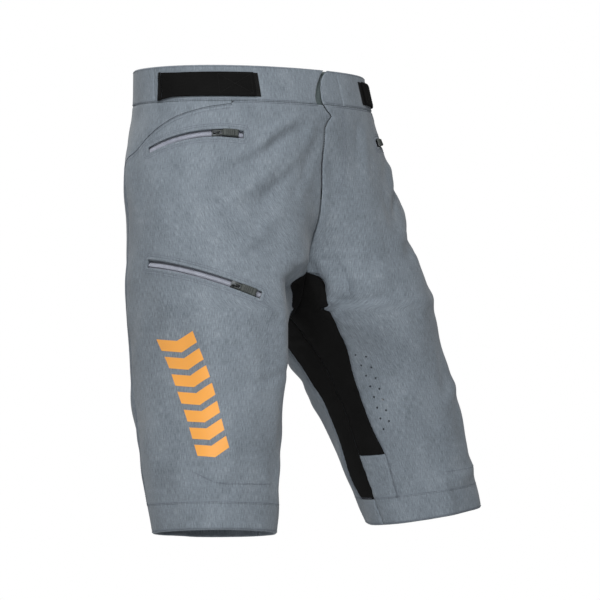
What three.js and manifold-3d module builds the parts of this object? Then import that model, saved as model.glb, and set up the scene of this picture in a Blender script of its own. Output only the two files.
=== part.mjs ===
// Knee-length outdoor shell shorts: cloth panels sewn edge to edge, zips, snaps and waist adjusters.
// Millimetres, +Z up. Origin: centre of the waist opening, on the waistband's top edge. The wearer faces -Y
// and the wearer's left is +X.
import * as THREE from "three";
import { mergeVertices } from "three/addons/utils/BufferGeometryUtils.js";
import Module from "manifold-3d";

const wasm = await Module();
wasm.setup();

// ---------------------------------------------------------------- driving dimensions
const WAIST_WIDTH = 312;
const WAIST_DEPTH = 220;
const HIP_WIDTH = 382; // widest level, across both hips
const HIP_DEPTH = 214;
const RISE = 280; // waistband top down to the crotch
const INSEAM = 253; // crotch down to the hem
const KNEE_WIDTH = 148; // one leg, side to side
const KNEE_DEPTH = 168;
const HEM_WIDTH = 136;
const HEM_DEPTH = 136;
const HEM_SPREAD = 171; // centre of a leg opening, from the middle plane
const HEM_FORWARD = 110; // centre of a leg opening, ahead of the waist's centre
const HEM_DIP_FRONT = 0.113; // the front of the hem hangs lower than the back, per mm of depth
const HEM_RISE_OUTER = 0.103; // the outer side of the hem sits higher, per mm of width
const ROUNDNESS = 2.25; // superellipse power of the sections; 2 is an ellipse

const WAISTBAND_HEIGHT = 42;
const WAISTBAND_WALL = 2;
const HEM_BAND_HEIGHT = 30;
const FABRIC = 1.2; // shell cloth with its seam allowances
const LINING = 1;
const SEAM_GAP = 0.3;
const LAYER_GAP = 0.4; // air between cloth layers that lie on each other
const BEHIND_SHELL = -FABRIC - 1.2; // outer face of what hangs just inside the shell

const UNDERLAP_LENGTH = 43;
const UNDERLAP_SHOWS = 7; // how much of the underlap is uncovered beside the tab
const TAB_LENGTH = 38; // free end of the left waistband, from the centre front to its fold
const SNAP_RADIUS = 6.5;
const SNAP_POST_RADIUS = 1.8;
const SNAP_SPACING = 20;
const SNAP_SOCKET_WALL = 0.7;
const SNAP_STUD_BASE = 0.5;

const STRAP_HEIGHT = 28;
const STRAP_LENGTH = 111; // along the waist
const STRAP_WALL = 1.4;
const HOOK_PATCH_LENGTH = 40;
const HOOK_WALL = 0.9;
const LOOP_WALL = 1.2;
const LOOP_PATCH_LENGTH = 117;
const ANCHOR_LENGTH = 9;
const ANCHOR_HEIGHT = 33;
const ANCHOR_GAP = 1.2; // room for the strap's end to turn beside its anchor
const GRIPPER_HEIGHT = 16;
const GRIPPER_WALL = 0.8;

const TAPE_WIDTH = 18;
const TAPE_WALL = 0.8;
const COIL_WIDTH = 4.4;
const COIL_HEIGHT = 1.8;
const SLIDER_LENGTH = 10;
const SLIDER_CLEARANCE = 0.5; // slider to coil, each side
const PULL_LENGTH = 24;
const PULL_WIDTH = 7.5;
const PULL_WALL = 1.4;
// A closed pocket slider's place on its path: its pull lies ahead of it in the slot.
const CLOSED_AT = PULL_LENGTH + 10;
const ZIP_SLOT_WIDTH = 11; // opening left in the shell for a pocket zip
const FLY_ZIP_LENGTH = 92;
const FLY_WIDTH = 40;
const FLY_ROOM = 3.4; // lets the fly zip's pull lift a little behind the closed fly
const POCKET_CLOTH = 1.6; // both layers of an empty pocket bag
const POCKET_DEPTH = 10.5; // the bag hangs this far behind the shell's outer face, clear of the zip

const HEM_DROP = RISE + INSEAM;
// Nominal girth of half the waist, and of one leg: turns a seam gap into a share of it.
const HALF_GIRTH = 425;

// ---------------------------------------------------------------- the body of the garment
// Drops of the base pattern, waist to hem. drop() grades them to the sizes above.
const BASE_BAND = 42;
const BASE_RISE = 280;
const BASE_HEM = 533;

/** Height of a point of the base pattern, given as its drop below the waist. */
function drop(base) {
  if (base <= BASE_BAND) return (-base * WAISTBAND_HEIGHT) / BASE_BAND;
  if (base <= BASE_RISE) {
    return -WAISTBAND_HEIGHT - ((base - BASE_BAND) * (RISE - WAISTBAND_HEIGHT)) / (BASE_RISE - BASE_BAND);
  }
  return -RISE - ((base - BASE_RISE) * INSEAM) / (BASE_HEM - BASE_RISE);
}

// One level of the garment: a ring centred at (x, y). Above the crotch the middle plane cuts it, so that the
// two halves make one waist; below the crotch it is a whole leg.
const LEVELS = [
  { z: 0, x: 0, halfWidth: WAIST_WIDTH / 2, y: 12, halfDepth: WAIST_DEPTH / 2 },
  { z: drop(BASE_BAND), x: 0, halfWidth: WAIST_WIDTH / 2 + 4, y: 6, halfDepth: WAIST_DEPTH / 2 + 6 },
  { z: drop(130), x: HIP_WIDTH / 2 - 167, halfWidth: 167, y: -9, halfDepth: HIP_DEPTH / 2 },
  { z: drop(200), x: HIP_WIDTH / 2 - 115, halfWidth: 119, y: -24, halfDepth: HIP_DEPTH / 2 + 1 },
  { z: drop(BASE_RISE), x: 103, halfWidth: 103, y: -45, halfDepth: HIP_DEPTH / 2 + 5 },
  { z: drop(345), x: 131, halfWidth: 78, y: -56, halfDepth: 104 },
  { z: drop(440), x: HEM_SPREAD - 14, halfWidth: KNEE_WIDTH / 2, y: -84, halfDepth: KNEE_DEPTH / 2 },
  { z: -HEM_DROP, x: HEM_SPREAD, halfWidth: HEM_WIDTH / 2, y: -HEM_FORWARD, halfDepth: HEM_DEPTH / 2 },
];
const TILT_START = 250; // the hem's tilt grows from this drop down to the hem
const VALLEY_DEPTH = 20; // how far the centre front sinks between the legs at the crotch
const VALLEY_HALF_WIDTH = 34;
const TUCK_DEPTH = 40; // the inner front of the wearer's right thigh hangs this far back below the fly
const TUCK_START = 24; // distances from the middle plane over which the tuck grows, and between which it fades
const TUCK_FADE = [58, 112];
const MIDDLE_GAP = 0.2; // each half stays this far from the middle plane

/** A smooth curve through hand-set points [key, value], keys rising, flat beyond its ends. */
function curve(points) {
  const slopes = points.map((point, i) => {
    const before = points[Math.max(i - 1, 0)];
    const after = points[Math.min(i + 1, points.length - 1)];
    if (point === before) return (after[1] - point[1]) / (after[0] - point[0]);
    if (point === after) return (point[1] - before[1]) / (point[0] - before[0]);
    const back = point[0] - before[0];
    const ahead = after[0] - point[0];
    const slopeBack = (point[1] - before[1]) / back;
    const slopeAhead = (after[1] - point[1]) / ahead;
    return (slopeBack * ahead + slopeAhead * back) / (back + ahead);
  });
  return (key) => {
    if (key <= points[0][0]) return points[0][1];
    if (key >= points[points.length - 1][0]) return points[points.length - 1][1];
    const i = points.findIndex((point) => point[0] > key) - 1;
    const span = points[i + 1][0] - points[i][0];
    const t = (key - points[i][0]) / span;
    const a = points[i][1] * (1 + 2 * t) * (1 - t) ** 2 + points[i + 1][1] * t * t * (3 - 2 * t);
    const b = slopes[i] * t * (1 - t) ** 2 - slopes[i + 1] * t * t * (1 - t);
    return a + span * b;
  };
}

const levelCurve = (key) => curve(LEVELS.map((level) => [-level.z, level[key]]));
const ringX = levelCurve("x");
const ringY = levelCurve("y");
const ringHalfWidth = levelCurve("halfWidth");
const ringHalfDepth = levelCurve("halfDepth");
const valley = curve([
  [-drop(80), 0],
  [-drop(150), 0.4 * VALLEY_DEPTH],
  [-drop(240), VALLEY_DEPTH],
  [-drop(300), 0.6 * VALLEY_DEPTH],
  [-drop(345), 0],
]);

const tuck = curve([
  [-drop(226), 0],
  [-drop(238), 0.35 * TUCK_DEPTH],
  [-drop(250), 0.9 * TUCK_DEPTH],
  [-drop(264), TUCK_DEPTH],
  [-drop(295), 0.85 * TUCK_DEPTH],
  [-drop(350), 0.5 * TUCK_DEPTH],
  [-drop(385), 0.2 * TUCK_DEPTH],
  [-drop(440), 0],
]);

/**
 * A point of the shell's outer face. t runs round the garment at one height: 0 is the centre front, +1 the
 * centre back reached over the wearer's left, -1 the same over the right. On a leg 0 and 1 both lie on the
 * inseam.
 */
function shellPoint(t, z) {
  const side = t < 0 ? -1 : 1;
  const down = -z;
  const halfWidth = ringHalfWidth(down);
  const halfDepth = ringHalfDepth(down);
  const centreX = ringX(down);
  const centreY = ringY(down);
  const reach = centreX < halfWidth ? Math.acos(-centreX / halfWidth) : Math.PI;
  const angle = reach * (2 * Math.abs(t) - 1);
  const cos = Math.cos(angle);
  const sin = Math.sin(angle);
  const squared = (value) => Math.sign(value) * Math.abs(value) ** (2 / ROUNDNESS);
  const blend = 0.6;
  const outer = cos > 0 ? blend * squared(cos) + (1 - blend) * cos : cos;
  let x = centreX + halfWidth * outer;
  let y = centreY + halfDepth * (blend * squared(sin) + (1 - blend) * sin);
  if (sin < 0) {
    // The valley fades where the two edges meet below it.
    const offInseam = 1 - Math.exp(-((sin / 0.25) ** 2));
    y += valley(down) * offInseam * Math.exp(-((x / VALLEY_HALF_WIDTH) ** 2));
    if (side < 0) {
      const fade = 1 - THREE.MathUtils.smoothstep(x, ...TUCK_FADE);
      y += tuck(down) * offInseam * fade * (1 - Math.exp(-((x / TUCK_START) ** 2)));
    }
  }
  const share = Math.min(Math.max((down - TILT_START) / (HEM_DROP - TILT_START), 0), 1) ** 1.5;
  const tilt = share * ((x - centreX) * HEM_RISE_OUTER - (y - centreY) * HEM_DIP_FRONT);
  if (centreX > 0 || down > WAISTBAND_HEIGHT) x = Math.max(x, MIDDLE_GAP);
  return new THREE.Vector3(side * x, y, z + tilt);
}

/** The same point moved out (or in, when negative) square to the shell. */
function layerPoint(t, z, offset) {
  const step = 0.006;
  const side = t < 0 ? -1 : 1;
  const share = Math.abs(t);
  const low = Math.max(share - step, 1e-6);
  const high = Math.min(share + step, 1);
  const along = shellPoint(side * high, z).sub(shellPoint(side * low, z));
  const out = new THREE.Vector3(side * along.y, -side * along.x, 0).normalize();
  if (low < step && ringX(-z) === 0) out.set(0, -1, 0);
  if (high === 1 && ringX(-z) === 0) out.set(0, 1, 0);
  return shellPoint(t, z).addScaledVector(out, offset);
}

/** Unit normal of the shell, pointing out, its slope up and down included. */
function shellNormal(t, z) {
  const step = 3;
  const across = layerPoint(t, z, 1).sub(layerPoint(t, z, 0));
  const upward = shellPoint(t, z + step).sub(shellPoint(t, z - step)).normalize();
  const sideways = upward.clone().cross(across);
  return sideways.cross(upward).normalize();
}

/** Length along the waistband, at its middle, from the centre front to t, in steps fine enough for fits. */
const WAIST_STEPS = 400;
const waistLengths = [0];
for (let i = 1; i <= WAIST_STEPS; i += 1) {
  const here = shellPoint(i / WAIST_STEPS, -WAISTBAND_HEIGHT / 2);
  const before = shellPoint((i - 1) / WAIST_STEPS, -WAISTBAND_HEIGHT / 2);
  waistLengths.push(waistLengths[i - 1] + here.distanceTo(before));
}
const lengthAt = (t) => waistLengths[Math.round(t * WAIST_STEPS)];
const shareAt = (length) => {
  const i = waistLengths.findIndex((value) => value > length);
  const part = (length - waistLengths[i - 1]) / (waistLengths[i] - waistLengths[i - 1]);
  return (i - 1 + part) / WAIST_STEPS;
};

// ---------------------------------------------------------------- cloth
/** Rows of a panel between two edges that may slope, with fixed rows in between that neighbours share. */
const rowsBetween = (top, bottom, shared) => (t) => {
  const high = top(t) - SEAM_GAP / 2;
  const low = bottom(t) + SEAM_GAP / 2;
  return [high, ...shared, low];
};

/**
 * A cloth panel: a slab cut into columns and rows and bent onto the shell. from and to give its side edges as
 * t at a height, rows gives the heights of its rows at t, and outer is how far its outer face stands off the
 * shell.
 */
function panel({ from, to, rows, columns, outer = 0, wall = FABRIC }) {
  const edgeGap = SEAM_GAP / 2 / HALF_GIRTH;
  const rowCount = rows(0).length - 1;
  const slab = new THREE.BoxGeometry(1, 1, 1, columns, rowCount, 1);
  const at = slab.getAttribute("position");
  for (let i = 0; i < at.count; i += 1) {
    const across = at.getX(i) + 0.5;
    const row = Math.round((0.5 - at.getY(i)) * rowCount);
    const offset = at.getZ(i) > 0 ? outer : outer - wall;
    let t = (from(0) + to(0)) / 2;
    let z = 0;
    for (let pass = 0; pass < 4; pass += 1) {
      z = rows(t)[row];
      t = THREE.MathUtils.lerp(from(z) + edgeGap, to(z) - edgeGap, across);
    }
    const point = layerPoint(t, z, offset);
    at.setXYZ(i, point.x, point.y, point.z);
  }
  return slab;
}

/** Side edges of a panel drawn on the wearer's left, as they are on the asked side. */
function edges(side, front, back) {
  if (side > 0) return { from: front, to: back };
  return { from: (z) => -back(z), to: (z) => -front(z) };
}
const fixed = (value) => () => value;

// ---------------------------------------------------------------- solids for cutting and joining
function toSolid(geometry) {
  const bare = geometry.clone();
  bare.deleteAttribute("normal");
  bare.deleteAttribute("uv");
  const merged = mergeVertices(bare, 1e-4);
  const mesh = new wasm.Mesh({
    numProp: 3,
    vertProperties: new Float32Array(merged.getAttribute("position").array),
    triVerts: new Uint32Array(merged.getIndex().array),
  });
  return new wasm.Manifold(mesh);
}

function toGeometry(solid) {
  const mesh = solid.getMesh();
  const geometry = new THREE.BufferGeometry();
  geometry.setAttribute("position", new THREE.BufferAttribute(new Float32Array(mesh.vertProperties), 3));
  geometry.setIndex(new THREE.BufferAttribute(new Uint32Array(mesh.triVerts), 1));
  return geometry;
}

function join(geometries) {
  return toGeometry(geometries.map(toSolid).reduce((whole, piece) => whole.add(piece)));
}

function cut(geometry, ...tools) {
  return toGeometry(tools.map(toSolid).reduce((whole, tool) => whole.subtract(tool), toSolid(geometry)));
}

/** A box given by its low and high corners. */
function block(low, high) {
  const size = high.map((value, i) => value - low[i]);
  const middle = high.map((value, i) => (value + low[i]) / 2);
  return new THREE.BoxGeometry(...size).translate(...middle);
}

// ---------------------------------------------------------------- zips
/** A straight or round path with its own axes: along it, across it, and out of the garment. */
class StraightPath {
  constructor(start, along, across, out) {
    Object.assign(this, { start, along, across, out });
  }

  point(distance, across, out) {
    return this.start
      .clone()
      .addScaledVector(this.along, distance)
      .addScaledVector(this.across, across)
      .addScaledVector(this.out, out);
  }
}

class RoundPath {
  /** The circle through three points; out is the rough outward direction at the middle one. */
  constructor(first, middle, last, out) {
    const toMiddle = middle.clone().sub(first);
    const toLast = last.clone().sub(first);
    const normal = toMiddle.clone().cross(toLast);
    const centre = normal.clone().cross(toMiddle).multiplyScalar(toLast.lengthSq());
    centre.add(toLast.clone().cross(normal).multiplyScalar(toMiddle.lengthSq()));
    centre.divideScalar(2 * normal.lengthSq());
    this.centre = first.clone().add(centre);
    this.axis = normal.normalize();
    this.radius = centre.length();
    this.radial = first.clone().sub(this.centre).normalize();
    this.turned = this.axis.clone().cross(this.radial);
    const end = last.clone().sub(this.centre);
    this.sweep = Math.atan2(end.dot(this.turned), end.dot(this.radial));
    this.length = this.sweep * this.radius;
    const spoke = middle.clone().sub(this.centre).normalize();
    this.lean = Math.atan2(out.dot(this.axis), out.dot(spoke));
  }

  point(distance, across, out) {
    const angle = distance / this.radius;
    const spoke = this.radial.clone().multiplyScalar(Math.cos(angle));
    spoke.addScaledVector(this.turned, Math.sin(angle));
    const outward = spoke.clone().multiplyScalar(Math.cos(this.lean));
    outward.addScaledVector(this.axis, Math.sin(this.lean));
    const sideways = this.axis.clone().multiplyScalar(Math.cos(this.lean));
    sideways.addScaledVector(spoke, -Math.sin(this.lean));
    return this.centre
      .clone()
      .addScaledVector(spoke, this.radius)
      .addScaledVector(outward, out)
      .addScaledVector(sideways, across);
  }
}

/** A bar of rectangular section that follows a path. */
function bar(path, start, end, halfWidth, low, high, steps) {
  const slab = new THREE.BoxGeometry(1, 1, 1, steps, 1, 1);
  const at = slab.getAttribute("position");
  for (let i = 0; i < at.count; i += 1) {
    const distance = THREE.MathUtils.lerp(start, end, at.getX(i) + 0.5);
    const point = path.point(distance, at.getY(i) * 2 * halfWidth, at.getZ(i) > 0 ? high : low);
    at.setXYZ(i, point.x, point.y, point.z);
  }
  return slab;
}

// Heights in a zip are measured out from the tape's outer face.
const COIL_LOW = SEAM_GAP;
const COIL_TOP = COIL_LOW + COIL_HEIGHT;
const CHANNEL_TOP = COIL_TOP + SLIDER_CLEARANCE;
const SLIDER_TOP = CHANNEL_TOP + 1;
const PIVOT_HEIGHT = SLIDER_TOP + 1;
const BAIL_TOP = PIVOT_HEIGHT + 2;

/** Puts a shape drawn along X, across Y and out Z at a place on a path. */
function placeOn(path, distance, geometry) {
  const origin = path.point(distance, 0, 0);
  const along = path.point(distance + 0.5, 0, 0).sub(path.point(distance - 0.5, 0, 0)).normalize();
  const out = path.point(distance, 0, 1).sub(origin).normalize();
  const across = out.clone().cross(along);
  const frame = new THREE.Matrix4().makeBasis(along, across, out).setPosition(origin);
  return geometry.applyMatrix4(frame);
}

/** Slider: a channel over the coil with a small arch that holds the pull. */
function zipSlider() {
  const half = COIL_WIDTH / 2 + SLIDER_CLEARANCE;
  const wall = 1.4;
  const length = SLIDER_LENGTH / 2;
  const body = block([-length, -half - wall, COIL_LOW], [length, half + wall, SLIDER_TOP]);
  const channel = block([-length - 1, -half, COIL_LOW - 1], [length + 1, half, CHANNEL_TOP]);
  const arch = block([-3.6, -0.8, SLIDER_TOP - 0.2], [3.6, 0.8, BAIL_TOP]);
  const eye = block([-2.6, -2, SLIDER_TOP + 0.05], [2.6, 2, BAIL_TOP - 1]);
  return join([cut(body, channel), cut(arch, eye)]);
}

/** Pull tab: a flat tab with a window at its end, whose end bar lies in the slider's arch. */
function zipPull(direction) {
  const low = PIVOT_HEIGHT - 0.5;
  const tabStart = 6;
  const crossbar = block([-0.5, -3, low], [0.5, 3, low + 1]);
  const arm = (middle) => block([-0.5, middle - 0.7, low], [tabStart + 1, middle + 0.7, low + 1]);
  const outline = new THREE.Shape();
  const half = PULL_WIDTH / 2;
  const corner = 2;
  outline.moveTo(tabStart, -half + corner / 2);
  outline.lineTo(tabStart + 3, -half);
  outline.lineTo(PULL_LENGTH - corner, -half);
  outline.quadraticCurveTo(PULL_LENGTH, -half, PULL_LENGTH, -half + corner);
  outline.lineTo(PULL_LENGTH, half - corner);
  outline.quadraticCurveTo(PULL_LENGTH, half, PULL_LENGTH - corner, half);
  outline.lineTo(tabStart + 3, half);
  outline.lineTo(tabStart, half - corner / 2);
  const tab = new THREE.ExtrudeGeometry(outline, { depth: PULL_WALL, bevelEnabled: false, curveSegments: 3 });
  tab.translate(0, 0, PIVOT_HEIGHT - PULL_WALL / 2);
  const whole = join([crossbar, arm(-2.3), arm(2.3), tab]);
  return direction > 0 ? whole : whole.rotateZ(Math.PI);
}

// ---------------------------------------------------------------- materials
const cloth = (color, roughness = 0.9) => new THREE.MeshStandardMaterial({ color, roughness, metalness: 0 });
const SHELL = cloth(0x7f8a92);
const STRETCH = cloth(0x131514, 0.8);
const UNDERLAP = cloth(0x4b5858);
const LINING_CLOTH = cloth(0x59636a);
const POCKETING = cloth(0x6d777d);
const LOOP = cloth(0x131312, 1);
const HOOK = cloth(0x0f0f0f, 0.7);
const WEBBING = cloth(0x161616, 0.85);
const TAPE = cloth(0x6c7480);
const SILICONE = cloth(0x3b4145, 0.5);
const COIL = cloth(0x5a626c, 0.5);
const PULL = cloth(0x3c4442, 0.6);
const LABEL = cloth(0xd9dbdb, 0.8);
const METAL = new THREE.MeshStandardMaterial({ color: 0x4a4f52, roughness: 0.4, metalness: 0.9 });

const garment = new THREE.Group();
function add(name, geometry, material) {
  const mesh = new THREE.Mesh(geometry, material);
  mesh.name = name;
  garment.add(mesh);
  return mesh;
}

// ---------------------------------------------------------------- seams, drawn on the wearer's left
const SIDE_SEAM = 0.6;
const YOKE_FRONT = 0.25;
const GUSSET_TOP = drop(237);
const GUSSET_BOTTOM = drop(452);
const HEM_FOLD = -HEM_DROP + HEM_BAND_HEIGHT;
const SHARED_ROWS = [150, 180, 210, 237, 247, 265, BASE_RISE, 297, 323, 359, 388, 423, 452, 478].map(drop);

const yokeSeam = curve([
  [YOKE_FRONT, drop(45)],
  [0.35, drop(52)],
  [0.45, drop(67)],
  [0.5, drop(81)],
  [0.55, drop(99)],
  [SIDE_SEAM, drop(109)],
  [0.8, drop(126)],
  [1, drop(131)],
]);
const pastYoke = (t) => Math.abs(t) > YOKE_FRONT - 0.01;
const panelTop = (t) => (pastYoke(t) ? yokeSeam(Math.abs(t)) : -WAISTBAND_HEIGHT);
const gussetFrontEdge = curve([
  [-drop(237), 0.003],
  [-drop(247), 0.036],
  [-drop(265), 0.051],
  [-drop(280), 0.084],
  [-drop(297), 0.087],
  [-drop(323), 0.075],
  [-drop(359), 0.056],
  [-drop(423), 0.056],
  [-drop(452), 0.066],
  [-drop(490), 0.066],
]);
const gussetBackEdge = curve([
  [-drop(237), 0.997],
  [-drop(265), 0.965],
  [-drop(280), 0.948],
  [-drop(297), 0.932],
  [-drop(359), 0.94],
  [-drop(452), 0.945],
  [-drop(490), 0.932],
  [-HEM_FOLD, 0.94],
]);
const gussetTucked = curve([
  [-drop(237), 0],
  [-drop(247), 0.05],
  [-drop(265), 0.034],
  [-drop(280), 0.021],
  [-drop(323), 0.005],
  [-drop(359), 0],
]); // on the wearer's right the tuck draws the gusset further forward
const frontEdgeOf = (side) => (z) => {
  if (z > GUSSET_TOP + 0.01) return 0;
  return gussetFrontEdge(-z) + (side < 0 ? gussetTucked(-z) : 0);
};
const gussetBack = (z) => (z > GUSSET_TOP + 0.01 ? 1 : gussetBackEdge(-z));

/** Rows from a top edge to a bottom edge, keeping the shared rows between two drops. */
const sharedRows = (top, bottom) => {
  const between = SHARED_ROWS.filter((z) => z < top - 1 && z > bottom + 1);
  return rowsBetween(fixed(top), fixed(bottom), between);
};
const legRows = (t) => {
  const top = panelTop(t);
  const bottom = SHARED_ROWS[0];
  const extra = [1 / 3, 2 / 3].map((share) => THREE.MathUtils.lerp(top, bottom, share));
  return rowsBetween(fixed(top), fixed(HEM_FOLD), [...extra, ...SHARED_ROWS])(t);
};

// ---------------------------------------------------------------- pocket zips
/** The round path of a pocket zip, through three pattern points, with its tape sunk behind the shell. */
function pocketPath(side, points, sink) {
  const [first, middle, last] = points.map(([t, base]) => {
    const out = shellNormal(side * t, drop(base));
    return shellPoint(side * t, drop(base)).addScaledVector(out, -sink);
  });
  const [t, base] = points[1];
  return new RoundPath(first, middle, last, shellNormal(side * t, drop(base)));
}
const HIP_ZIP = [
  [0.205, 83],
  [0.35, 82],
  [0.5, 100],
];
const THIGH_ZIP = [
  [0.27, 266],
  [0.39, 241],
  [0.515, 230],
];
const ZIP_SINK = 4.8; // the tape's outer face lies this far behind the shell's outer face
const hipPaths = { right: pocketPath(-1, HIP_ZIP, ZIP_SINK), left: pocketPath(1, HIP_ZIP, ZIP_SINK) };
const thighPath = pocketPath(-1, THIGH_ZIP, ZIP_SINK);
const slotFor = (path) => bar(path, 2, path.length - 2, ZIP_SLOT_WIDTH / 2, -2, 16, 12);

/** Tape, coil, slider and pull of one zip. rest is the slider's distance from the start of the path. */
function addZip(name, path, length, rest, pullDirection, steps) {
  const halfTape = TAPE_WIDTH / 2;
  add(`${name}_tape`, bar(path, 0, length, halfTape, -TAPE_WALL, 0, steps), TAPE);
  add(`${name}_coil`, bar(path, 3, length - 3, COIL_WIDTH / 2, COIL_LOW, COIL_TOP, steps), COIL);
  add(`${name}_slider`, placeOn(path, rest, zipSlider()), METAL);
  add(`${name}_pull`, placeOn(path, rest, zipPull(pullDirection)), PULL);
}

// ---------------------------------------------------------------- panels of both halves
const SIDES = [
  ["right", -1],
  ["left", 1],
];
const bandRows = (top, bottom) => rowsBetween(fixed(top), fixed(bottom), []);

for (const [hand, side] of SIDES) {
  const both = (front, back) => edges(side, fixed(front), fixed(back));
  let front = panel({ ...edges(side, frontEdgeOf(side), fixed(SIDE_SEAM)), rows: legRows, columns: 12 });
  front = cut(front, slotFor(hipPaths[hand]));
  if (side < 0) front = cut(front, slotFor(thighPath));
  add(`front_panel_${hand}`, front, SHELL);

  const back = panel({ ...edges(side, fixed(SIDE_SEAM), gussetBack), rows: legRows, columns: 8 });
  add(`back_panel_${hand}`, back, SHELL);

  const yokeRows = (t) => {
    const bottom = yokeSeam(Math.abs(t));
    const parts = [1 / 4, 2 / 4, 3 / 4];
    const between = parts.map((part) => THREE.MathUtils.lerp(-WAISTBAND_HEIGHT, bottom, part));
    return rowsBetween(fixed(-WAISTBAND_HEIGHT), fixed(bottom), between)(t);
  };
  add(`back_yoke_${hand}`, panel({ ...both(YOKE_FRONT, 1), rows: yokeRows, columns: 15 }), SHELL);

  const stretchRows = sharedRows(GUSSET_TOP, GUSSET_BOTTOM);
  const stretchFront = panel({ ...edges(side, fixed(0), frontEdgeOf(side)), rows: stretchRows, columns: 2 });
  add(`inner_front_stretch_${hand}`, stretchFront, STRETCH);
  const backRows = sharedRows(GUSSET_TOP, HEM_FOLD);
  const stretchBack = panel({ ...edges(side, gussetBack, fixed(1)), rows: backRows, columns: 2 });
  add(`inner_back_stretch_${hand}`, stretchBack, STRETCH);
  const kneeRows = sharedRows(GUSSET_BOTTOM, HEM_FOLD);
  const knee = panel({ ...edges(side, fixed(0), frontEdgeOf(side)), rows: kneeRows, columns: 2 });
  add(`inner_knee_panel_${hand}`, knee, SHELL);

  const hemRows = bandRows(HEM_FOLD, -HEM_DROP);
  add(`hem_band_${hand}`, panel({ ...both(0, 1), rows: hemRows, columns: 20, wall: 2 * FABRIC }), SHELL);
}

// ---------------------------------------------------------------- waistband, lining and label
const strapMiddle = drop(23);
const strapEdges = [strapMiddle + STRAP_HEIGHT / 2, strapMiddle - STRAP_HEIGHT / 2];
const bandFace = (from, to, columns) =>
  panel({
    from: fixed(from),
    to: fixed(to),
    rows: rowsBetween(fixed(SEAM_GAP / 2), fixed(-WAISTBAND_HEIGHT), strapEdges),
    columns,
    wall: WAISTBAND_WALL,
  });
const HALF_BACK = 0.5;
add("waistband_front_right", bandFace(-HALF_BACK, -shareAt(UNDERLAP_SHOWS), 18), SHELL);
add("waistband_front_left", bandFace(shareAt(TAB_LENGTH), HALF_BACK, 16), SHELL);
add("waistband_back_right", bandFace(-1, -HALF_BACK, 20), SHELL);
add("waistband_back_left", bandFace(HALF_BACK, 1, 20), SHELL);
add("front_tab", bandFace(0, shareAt(TAB_LENGTH), 4), SHELL);

const liningOuter = -WAISTBAND_WALL - LAYER_GAP;
const gripperOuter = liningOuter - LINING - 2 * LAYER_GAP;
const LINING_START = 0.14;
for (const [hand, side] of SIDES) {
  const at = edges(side, fixed(LINING_START), fixed(1));
  const rows = rowsBetween(fixed(-2), fixed(-WAISTBAND_HEIGHT + 2), strapEdges);
  const lining = panel({ ...at, rows, columns: 32, outer: liningOuter, wall: LINING });
  add(`waist_lining_${hand}`, lining, LINING_CLOTH);
  const gripAt = edges(side, fixed(LINING_START + 0.02), fixed(0.95));
  const middle = -WAISTBAND_HEIGHT / 2;
  const gripRows = bandRows(middle + GRIPPER_HEIGHT / 2, middle - GRIPPER_HEIGHT / 2);
  const gripper = panel({ ...gripAt, rows: gripRows, columns: 30, outer: gripperOuter, wall: GRIPPER_WALL });
  add(`waist_gripper_${hand}`, gripper, SILICONE);
}
const labelRows = bandRows(-WAISTBAND_HEIGHT - 3, -WAISTBAND_HEIGHT - 43);
add(
  "care_label",
  panel({
    from: fixed(0.86),
    to: fixed(0.93),
    rows: labelRows,
    columns: 3,
    outer: BEHIND_SHELL,
    wall: 0.6,
  }),
  LABEL,
);

// ---------------------------------------------------------------- waist adjusters
const STRAP_ROOT = 0.465;
const LOOP_OUTER = LAYER_GAP + LOOP_WALL;
const HOOK_OUTER = LOOP_OUTER + LAYER_GAP + HOOK_WALL;
const STRAP_OUTER = HOOK_OUTER + LAYER_GAP + STRAP_WALL;
const heightRows = (height) => bandRows(strapMiddle + height / 2, strapMiddle - height / 2);
for (const [hand, side] of SIDES) {
  const rootLength = lengthAt(STRAP_ROOT);
  const strapEnd = shareAt(rootLength - STRAP_LENGTH);
  const loopEnd = shareAt(rootLength - LOOP_PATCH_LENGTH);
  const piece = (front, back, height, outer, wall, columns) =>
    panel({ ...edges(side, fixed(front), fixed(back)), rows: heightRows(height), columns, outer, wall });
  add(`loop_patch_${hand}`, piece(loopEnd, STRAP_ROOT, STRAP_HEIGHT, LOOP_OUTER, LOOP_WALL, 14), LOOP);
  const hookEnd = shareAt(rootLength - STRAP_LENGTH + HOOK_PATCH_LENGTH);
  const hook = piece(strapEnd + 0.004, hookEnd, STRAP_HEIGHT - 2, HOOK_OUTER, HOOK_WALL, 5);
  add(`hook_patch_${hand}`, hook, HOOK);
  const strap = piece(strapEnd, STRAP_ROOT, STRAP_HEIGHT, STRAP_OUTER, STRAP_WALL, 14);
  add(`adjuster_strap_${hand}`, strap, WEBBING);
  const anchorStart = shareAt(rootLength + ANCHOR_GAP);
  const anchorEnd = shareAt(rootLength + ANCHOR_GAP + ANCHOR_LENGTH);
  const anchorWall = STRAP_OUTER - LAYER_GAP;
  const anchor = piece(anchorStart, anchorEnd, ANCHOR_HEIGHT, STRAP_OUTER, anchorWall, 2);
  add(`adjuster_anchor_${hand}`, anchor, WEBBING);
}

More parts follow.
